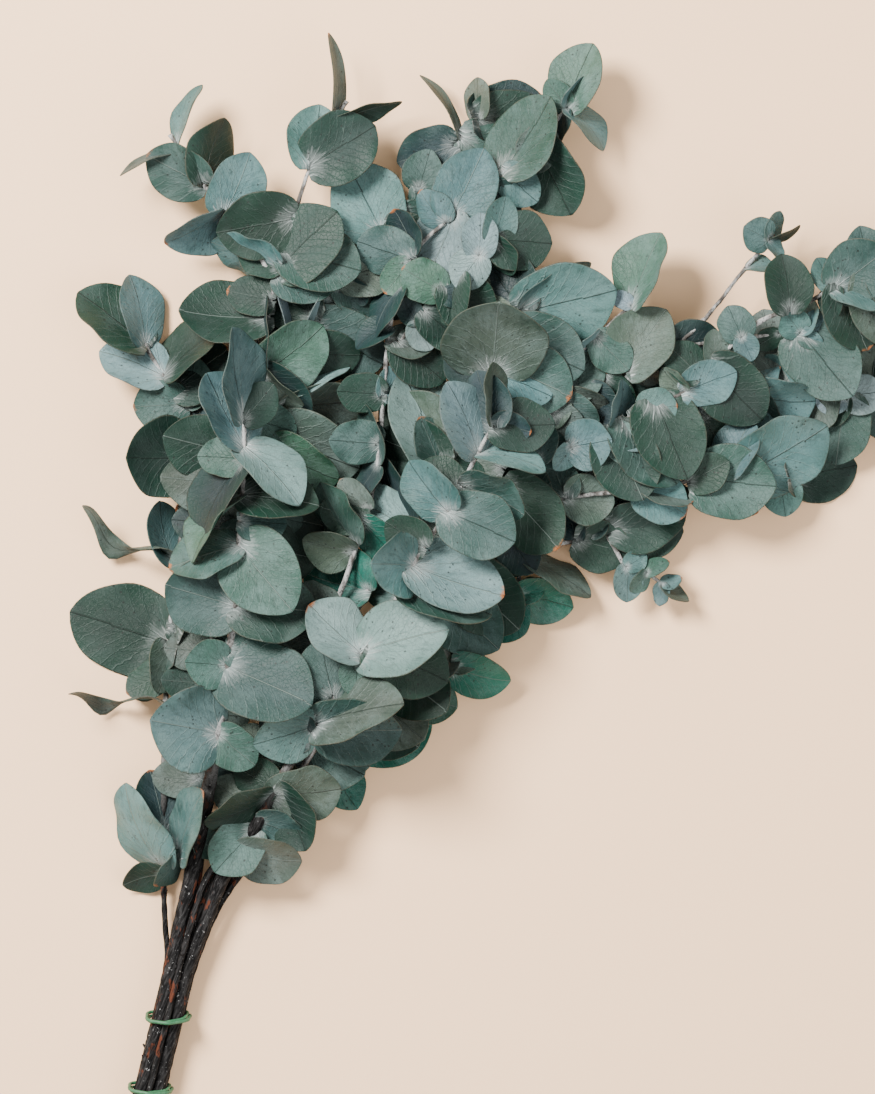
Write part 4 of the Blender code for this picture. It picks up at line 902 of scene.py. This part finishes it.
def bark_finish():
    """Dark ridged bark low on the stem, peeling to red, fading to mottled grey above; the ridges
    carry a painted highlight.
    """
    bark = Finish("bark")
    where = bark.place()
    low = bark.node("ShaderNodeSeparateXYZ", {}, {"Vector": where}, 1)
    lengthwise = {"Vector": where, "Rotation": (0.0, 0.0, BUNDLE_TURN), "Scale": (1.0, 10.0, 1.0)}
    drawn = bark.node("ShaderNodeMapping", {"vector_type": "TEXTURE"}, lengthwise)
    peeled = bark.node("ShaderNodeMapping", {}, {"Vector": where, "Scale": (1.0, 0.4, 1.0)})
    patch = bark.noise(peeled, 170.0, 3.0, 0.6)
    ridge = bark.noise(drawn, 900.0, 4.0, 0.7)
    fleck = bark.noise(where, 620.0, 3.0, 0.7)
    bare = (low + (patch - 0.5) * 0.09).ramp(-0.060, -0.125)
    # Painted highlight: the bark is made lighter along its long ridges, near black between them.
    dark = bark.mix(ridge.ramp(0.44, 0.68), (0.0025, 0.0025, 0.0028, 1), (0.040, 0.039, 0.040, 1))
    red = patch.ramp(0.59, 0.62) * ridge.ramp(0.34, 0.48) * 0.8
    dark = bark.mix(red, dark, (0.105, 0.030, 0.014, 1))
    white = fleck.ramp(0.635, 0.69) * patch.ramp(0.50, 0.42) * 0.9
    dark = bark.mix(white, dark, (0.42, 0.43, 0.43, 1))
    pale = bark.mix(patch.ramp(0.42, 0.60), (0.36, 0.37, 0.37, 1), (0.085, 0.080, 0.075, 1))
    pale = bark.mix(fleck.ramp(0.54, 0.64) * 0.85, pale, (0.016, 0.015, 0.014, 1))
    return bark.paint(
        Base_Color=bark.mix(bare, pale, dark),
        Roughness=0.85 - 0.25 * bare * fleck.ramp(0.6, 0.7),
        Specular_IOR_Level=0.14,
        Normal=bark.bump(ridge * 0.8 + patch * 0.6 + fleck * 0.3, 0.9, 0.0010),
    )


def stub_meshes(name, radius):
    """Stumps of cut side twigs and loose slivers of bark on a bare stem."""
    draw = random.Random(name + "stubs")
    stations = [point for point in smooth_route(stem_route(name)) if point.y < BARE_END]
    meshes = []
    for number in range(STUBS):
        station = draw.choice(stations[STUBS:])
        way = Vector((draw.uniform(-1, 1), draw.uniform(0.1, 0.9), draw.uniform(-0.1, 0.9)))
        way.normalize()
        sliver = number % 2
        reach = draw.uniform(2.5, 4.5) if sliver else draw.uniform(1.4, 2.2)
        foot, end = station + way * radius * 0.5, station + way * (radius + reach)
        thick = 0.28 if sliver else 0.75
        middle = (foot + end) / 2
        meshes.append(tube_mesh("stub", [foot, middle, end], [thick, thick, thick * 0.7]))
    return meshes


def linked(name, data):
    """A new object in the scene that shows the data."""
    obj = bpy.data.objects.new(name, data)
    bpy.context.scene.collection.objects.link(obj)
    return obj


def dressed(name, meshes, finish, node):
    """One object of all the meshes, in metres and centred, that stands for its node."""
    bm = bmesh.new()
    for mesh in meshes:
        bm.from_mesh(mesh)
        bpy.data.meshes.remove(mesh)
    bm.transform(Matrix.Scale(MM, 4) @ Matrix.Translation(CENTRE_SHIFT))
    mesh = bpy.data.meshes.new(name)
    bm.to_mesh(mesh)
    bm.free()
    mesh.materials.append(finish)
    mesh.shade_smooth()
    obj = linked(name, mesh)
    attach(obj, "root")
    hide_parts(node)


bark = bark_finish()
for name in SLOTS:
    tubes = []
    for number, route in enumerate(all_routes(name)):
        size = tube_size(name, number, FINE_TWIG_THINNER)
        tubes.append(bark_tube(f"{name}_{number}", route, *size))
    dressed(name + "_bark", tubes + stub_meshes(name, SLOTS[name][2]), bark, name)


# Leaves
# Waxy blades about half a millimetre thick, with a pale bloom over grey-green, a fine midrib
# and side veins, dark specks and a thin brown edge. Each is a grid bent to its own pose, with
# a narrow stalk, a heart-shaped base, a wavy rim and a short point.

# Linear colours of the tones, partly the leaves' own and partly painted light and shade: the dark
# tone is painted shade for leaves at the back of the bunch, and the silver and pale tones also
# serve as painted light on steeply tilted leaves.
TONES = {
    "S": (0.168, 0.255, 0.272),
    "P": (0.070, 0.146, 0.154),
    "G": (0.028, 0.062, 0.056),
    "L": (0.041, 0.100, 0.070),
    "D": (0.007, 0.021, 0.015),
    "B": (0.009, 0.020, 0.025),
    "T": (0.006, 0.100, 0.070),
    "O": (0.066, 0.086, 0.072),
}
ACROSS_FACES = 12
ALONG_FACES = 20
FINE_THICKNESS = 0.5
STALK_SHARE = 0.05
LOBE_SHARE = 0.20
OVER_STEM = 2.6
CUPPED_SHARE = 0.16
RIBBON_SHARE = 0.17
# Leaves that dried into ribbons, by base and tip
CURLED = ((-199, -66, -254, -62), (-193, 14, -248, 42))


def outline_share(along, broad=0.80):
    """Half width of the real outline, as a share of the blade's widest half."""
    if along < STALK_SHARE:
        return 0.05
    share = min((along - STALK_SHARE) / (1 - STALK_SHARE), 1.0)
    blunt = 0.40 + 0.22 * share**3
    return max(0.03, max(math.sin(math.pi * share**broad), 0.0) ** blunt)


class Shape:
    """What makes one leaf's outline and surface differ from the next one's."""

    def __init__(self, leaf, draw):
        upright = math.cos(math.radians(leaf.roll)) * math.cos(math.radians(leaf.pitch))
        self.lobes = LOBE_SHARE * max(0.15, upright)
        self.over = OVER_STEM * max(0.15, upright)
        self.broad = draw.uniform(0.70, 0.90)
        self.wave = draw.uniform(0.015, 0.055) * leaf.width
        self.phase = draw.uniform(0, 6.3)
        self.count = draw.uniform(1.6, 4.2)
        self.uneven = draw.uniform(0.01, 0.05)
        self.cup = draw.uniform(-0.10, 0.16)
        if draw.random() < CUPPED_SHARE:
            self.cup = draw.uniform(0.28, 0.50) * draw.choice((-1, 1))
            self.wave *= 1.5
        self.curl = 0.0
        if (*leaf.base, *leaf.tip) in CURLED:
            self.wave, self.count, self.curl = 0.05 * leaf.width, 5.0, 0.55


def fine_point(leaf, across, along, shape):
    """Point of the finished blade: the coarse form with its real outline and a wavy rim."""
    fan = max(0.0, 1 - along / 0.45) * min(along / STALK_SHARE, 1.0)
    swept = along - shape.lobes * abs(across) ** 1.6 * fan
    half = leaf.shrink * leaf.width / 2 * outline_share(along, shape.broad)
    if shape.curl:
        half = RIBBON_SHARE * leaf.width * max(math.sin(math.pi * along), 0.001) ** 0.35
    half *= 1 + shape.uneven * math.sin(9.0 * along + shape.phase + 2.2 * math.copysign(1, across))
    side = across * half
    ripple = shape.count * math.pi * along + shape.phase + 1.6 * across
    wave = shape.wave * across**2 * math.sin(ripple)
    wave *= math.sin(math.pi * along)
    if leaf.rests:
        drop = max(1 - swept / REST_BEND, 0.0) ** 1.5
        flat = Matrix.Rotation(leaf.heading - math.pi / 2, 4, "Z")
        spot = flat @ Vector((side, swept * leaf.seen_length, 0.0))
        height = leaf.root.z * drop + abs(wave) + FINE_THICKNESS
        return Vector((leaf.root.x + spot.x, leaf.root.y + spot.y, height))
    rise = leaf.fold * (math.hypot(side, 1.5) - 1.5) + wave
    rise += 4 * leaf.arch * leaf.length * swept * (1 - swept)
    rise += shape.cup * side * side / leaf.width
    turned = leaf.twist * (along - 0.4) + shape.curl * math.sin(2.2 * math.pi * along)
    x = side * math.cos(turned) - rise * math.sin(turned)
    x += 0.5 * shape.curl * leaf.width * math.sin(2.6 * math.pi * along)
    z = side * math.sin(turned) + rise * math.cos(turned)
    over = shape.over * min(along / STALK_SHARE, 1.0) * max(0.0, 1 - along / 0.6)
    spot = leaf.matrix @ Vector((x, swept * leaf.length, z))
    return Vector((spot.x, spot.y, max(spot.z + over, FINE_THICKNESS)))


def leaf_mesh(leaf, number):
    """The finished blade, with how far across and along it each point lies."""
    draw = random.Random(f"{leaf.base} {number}")
    shape = Shape(leaf, draw)
    bm = bmesh.new()
    bmesh.ops.create_grid(bm, x_segments=ACROSS_FACES, y_segments=ALONG_FACES, size=1.0)
    across_mark = bm.verts.layers.float.new("across")
    along_mark = bm.verts.layers.float.new("along")
    aside_mark = bm.verts.layers.float.new("aside")
    seed_mark = bm.verts.layers.float.new("seed")
    tone_mark = bm.verts.layers.float_color.new("tone")
    seed = draw.random()
    light = draw.uniform(0.72, 1.25)
    tone = [value * light * draw.uniform(0.92, 1.08) for value in TONES[leaf.tone]]
    for vert in bm.verts:
        across = math.sin(vert.co.x * math.pi / 2)
        even = (vert.co.y + 1) / 2
        along = even - 0.06 * math.sin(2 * math.pi * even)
        vert[across_mark] = across
        vert[along_mark] = along
        vert[aside_mark] = across * outline_share(along) * leaf.width / leaf.length / 2
        vert[seed_mark] = seed
        vert[tone_mark] = (*tone, 1.0)
        vert.co = fine_point(leaf, across, along, shape)
    bm.normal_update()
    other_side = bmesh.ops.extrude_face_region(bm, geom=bm.faces[:], use_keep_orig=True)["geom"]
    for vert in other_side:
        if isinstance(vert, bmesh.types.BMVert):
            vert.co -= vert.normal * FINE_THICKNESS
    bmesh.ops.recalc_face_normals(bm, faces=bm.faces)
    mesh = bpy.data.meshes.new("leaf")
    bm.to_mesh(mesh)
    bm.free()
    return mesh


def leaf_finish():
    """Grey-green wax with bloom, veins, specks and a brown edge, and painted shade towards each
    blade's sides.
    """
    leaf = Finish("leaf")
    where = leaf.place()
    across = leaf.attribute("across")
    along = leaf.attribute("along")
    aside = leaf.attribute("aside")
    seed = leaf.attribute("seed")
    tone = leaf.attribute("tone", "Color")
    cloud = leaf.noise(where, 60.0, 3.0, 0.55)
    grain = leaf.noise(where, 1500.0, 3.0, 0.7)
    drift = leaf.noise(where, 300.0, 2.0, 0.5)
    side = abs(across)
    off = abs(aside)
    squared = off * off + along * along
    reach = squared.math("SQRT", squared)
    angle = off.math("ARCTAN2", aside, along + 0.02)
    spread = {"X": angle * 4.0, "Y": reach * 2.0, "Z": seed * 40.0}
    fan = leaf.node("ShaderNodeCombineXYZ", {}, spread)
    streak = leaf.noise(fan, 3.0, 4.0, 0.7)
    slant = along - off * 1.20 + off * off * 0.9 + (drift - 0.5) * 0.05
    line = abs((slant * 8.0 + seed * 7.0).fraction() - 0.5).ramp(0.070, 0.012)
    line = line * along.ramp(1.0, 0.5)
    ray = abs((angle * 2.6 + seed * 3.0 + (drift - 0.5) * 0.4).fraction() - 0.5)
    ray = (ray * reach).ramp(0.014, 0.004) * reach.ramp(0.75, 0.25)
    cells = {"Vector": where, "Scale": 420.0}
    net = leaf.node("ShaderNodeTexVoronoi", {"feature": "DISTANCE_TO_EDGE"}, cells, "Distance")
    mesh = net.ramp(0.08, 0.012)
    bent = abs(aside + ((along * 1.3 + seed).fraction() - 0.5) * 0.012)
    rib = bent.ramp(0.009, 0.003)
    veins = (line * 0.6 + ray).clamp()
    star = (reach + (streak - 0.5) * 0.5).ramp(0.25, 0.0) * (0.45 + ray + 0.4 * cloud)
    powder = leaf.node("ShaderNodeSeparateXYZ", {}, {"Vector": tone}, 1).ramp(0.0, 0.09)
    bloom = (cloud * 0.9 + streak * 0.3 + (grain - 0.5) * 0.7).ramp(0.54, 0.84)
    # Painted shade: each blade darkens towards its sides; the cloudy patches of darker green are
    # the leaf's own uneven colour.
    shade_and_patch_green = leaf.mix(0.6, tone, (0.003, 0.040, 0.024, 1))
    side_shade_and_patches = (side.ramp(0.30, 1.0) * 0.45 + cloud.ramp(0.60, 0.35) * 0.35).clamp()
    side_shaded = leaf.mix(side_shade_and_patches, tone, shade_and_patch_green)
    bloomed = leaf.mix(bloom * 0.46 * powder, side_shaded, (0.125, 0.200, 0.190, 1))
    shaded = leaf.mix(streak.ramp(0.48, 0.30) * 0.5, bloomed, (0.006, 0.018, 0.014, 1))
    netted = leaf.mix(mesh * 0.15, shaded, (0.008, 0.020, 0.016, 1))
    veined = leaf.mix(veins * (0.10 + 0.24 * powder), netted, (0.170, 0.225, 0.210, 1))
    starred = leaf.mix(star.clamp() * (0.40 + 0.50 * powder), veined, (0.42, 0.47, 0.47, 1))
    rib_colour = leaf.mix(seed.ramp(0.48, 0.52), (0.012, 0.020, 0.016, 1), (0.13, 0.17, 0.155, 1))
    ribbed = leaf.mix(rib * along.ramp(0.10, 0.35) * 0.7, starred, rib_colour)
    dots = leaf.node("ShaderNodeTexVoronoi", {}, {"Vector": where, "Scale": 280.0}, "Distance")
    specks = (dots + (grain - 0.5) * 0.3).ramp(0.20, 0.13)
    specks = specks * leaf.noise(where, 120.0).ramp(0.49, 0.56)
    specked = leaf.mix(specks * 0.75, ribbed, (0.007, 0.008, 0.007, 1))
    rim = (side + (drift - 0.5) * 0.10).ramp(0.965, 1.0)
    edged = leaf.mix(rim * 0.5, specked, (0.050, 0.042, 0.028, 1))
    burnt = (along + (drift - 0.5) * 0.14).ramp(0.95, 0.99) * seed.ramp(0.82, 0.86)
    edged = leaf.mix(burnt * 0.9, edged, (0.30, 0.10, 0.03, 1))
    height = veins * 0.6 + rib + mesh * 0.12 + grain * 0.2 + streak * 0.5 + cloud * 0.8
    return leaf.paint(
        Base_Color=edged,
        Roughness=0.50 + 0.20 * bloom,
        Specular_IOR_Level=0.30,
        Normal=leaf.bump(height, 0.75, 0.0008),
    )


wax = leaf_finish()
for name, leaves in seated.items():
    meshes = [leaf_mesh(leaf, number) for number, leaf in enumerate(leaves)]
    dressed(name + "_leaves", meshes, wax, name)


# Rubber bands
# Two thin green rubber bands, each wound twice round the bare stems. A strand lies tight over
# the stems that stick out furthest, and its two turns cross at one side.

BAND_STRAND_RADIUS = 1.0
BAND_GAP = 0.3
BAND_CROSSING = 75.0
BAND_HALF_HEIGHT = 9.0
BAND_SLANT = 0.12
TURN_STEPS = 64


def band_points(station, sag):
    """A strand that runs twice round the stems, pulled tight over those furthest out."""
    centre, across = bundle_frame(station)
    along = Vector((-across.y, across.x, 0.0))
    reach = BAND_STRAND_RADIUS + BAND_GAP
    near = 2 * BAND_STRAND_RADIUS + BAND_GAP
    turns = []
    for step in range(2 * TURN_STEPS):
        angle = 2 * math.pi * (step + 0.5) / TURN_STEPS
        way = Vector((math.cos(angle), math.sin(angle)))
        far = max(SLOTS.values(), key=lambda slot: Vector(slot[:2]).dot(way) + slot[2])
        turned = (angle - math.radians(BAND_CROSSING)) / 2
        over = near * max(0.0, math.cos(turned))
        spot = Vector(far[:2]) + way * (far[2] + reach + over)
        offset = near / 2 * math.sin(turned)
        offset = offset + sag * (spot.y / BAND_HALF_HEIGHT) - BAND_SLANT * sag * spot.x
        turns.append(centre + across * spot.x + Vector((0, 0, spot.y)) + along * offset)
    return turns


def rubber_finish():
    """Matt green rubber, slightly stained."""
    rubber = Finish("rubber_band")
    where = rubber.place()
    stain = rubber.noise(where, 500.0, 3.0)
    colour = rubber.mix(stain.ramp(0.35, 0.7), (0.018, 0.105, 0.046, 1), (0.042, 0.155, 0.074, 1))
    return rubber.paint(Base_Color=colour, Roughness=0.5 + 0.1 * stain,
                        Normal=rubber.bump(stain, 0.15, 0.0003))


rubber = rubber_finish()
for name, station, sag in (("band_upper", 2, -2.2), ("band_lower", 1, -1.8)):
    points = band_points(station, sag)
    strand = tube_mesh(name, points, [BAND_STRAND_RADIUS] * len(points), sides=3, closed=True)
    dressed(name + "_rubber", [strand], rubber, name)


# Surroundings
# A plain warm white surface under a large soft light from the upper left, seen by a camera
# that looks straight down, as the photograph does.

FRAME_CENTRE = Vector((-46.2, 24.1, 0.0))
FRAME_HEIGHT = 612.6
CAMERA_HEIGHT = 5200.0
SENSOR = 36.0
LEAF_LEVEL = 25.0
FLOOR_HALF = 6.0

bm = bmesh.new()
bmesh.ops.create_grid(bm, x_segments=1, y_segments=1, size=FLOOR_HALF)
floor_mesh = bpy.data.meshes.new("floor")
bm.to_mesh(floor_mesh)
bm.free()
floor = linked("floor", floor_mesh)
paper = Finish("floor_paper")
floor_mesh.materials.append(paper.paint(Base_Color=(1.0, 0.675, 0.415, 1), Roughness=0.9))
floor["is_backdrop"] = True


def soft_light(name, place, size, power, colour):
    """A round area light that points at the middle of the scene."""
    light = bpy.data.lights.new(name, "AREA")
    light.shape = "DISK"
    light.size = size
    light.energy = power
    light.color = colour
    lamp = linked(name, light)
    lamp.location = place
    lamp.rotation_euler = (-Vector(place)).to_track_quat("-Z", "Y").to_euler()


soft_light("window", (-1.3, 1.1, 1.9), 1.0, 190.0, (1.0, 0.965, 0.92))
soft_light("bounce", (1.6, -0.9, 1.8), 2.6, 46.0, (1.0, 0.96, 0.92))
world = bpy.data.worlds.new("studio")
world.use_nodes = True
sky = world.node_tree.nodes["Background"].inputs
sky["Color"].default_value = (1.0, 0.97, 0.94, 1)
sky["Strength"].default_value = 0.73
bpy.context.scene.world = world

lens = bpy.data.cameras.new("camera")
lens.sensor_width = SENSOR
lens.lens = SENSOR * (CAMERA_HEIGHT - LEAF_LEVEL) / FRAME_HEIGHT
camera = linked("camera", lens)
camera.location = (FRAME_CENTRE + CENTRE_SHIFT + Vector((0, 0, CAMERA_HEIGHT))) * MM
bpy.context.scene.camera = camera

size = {"cad": cad_box, "visual": [list(corner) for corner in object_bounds()]}
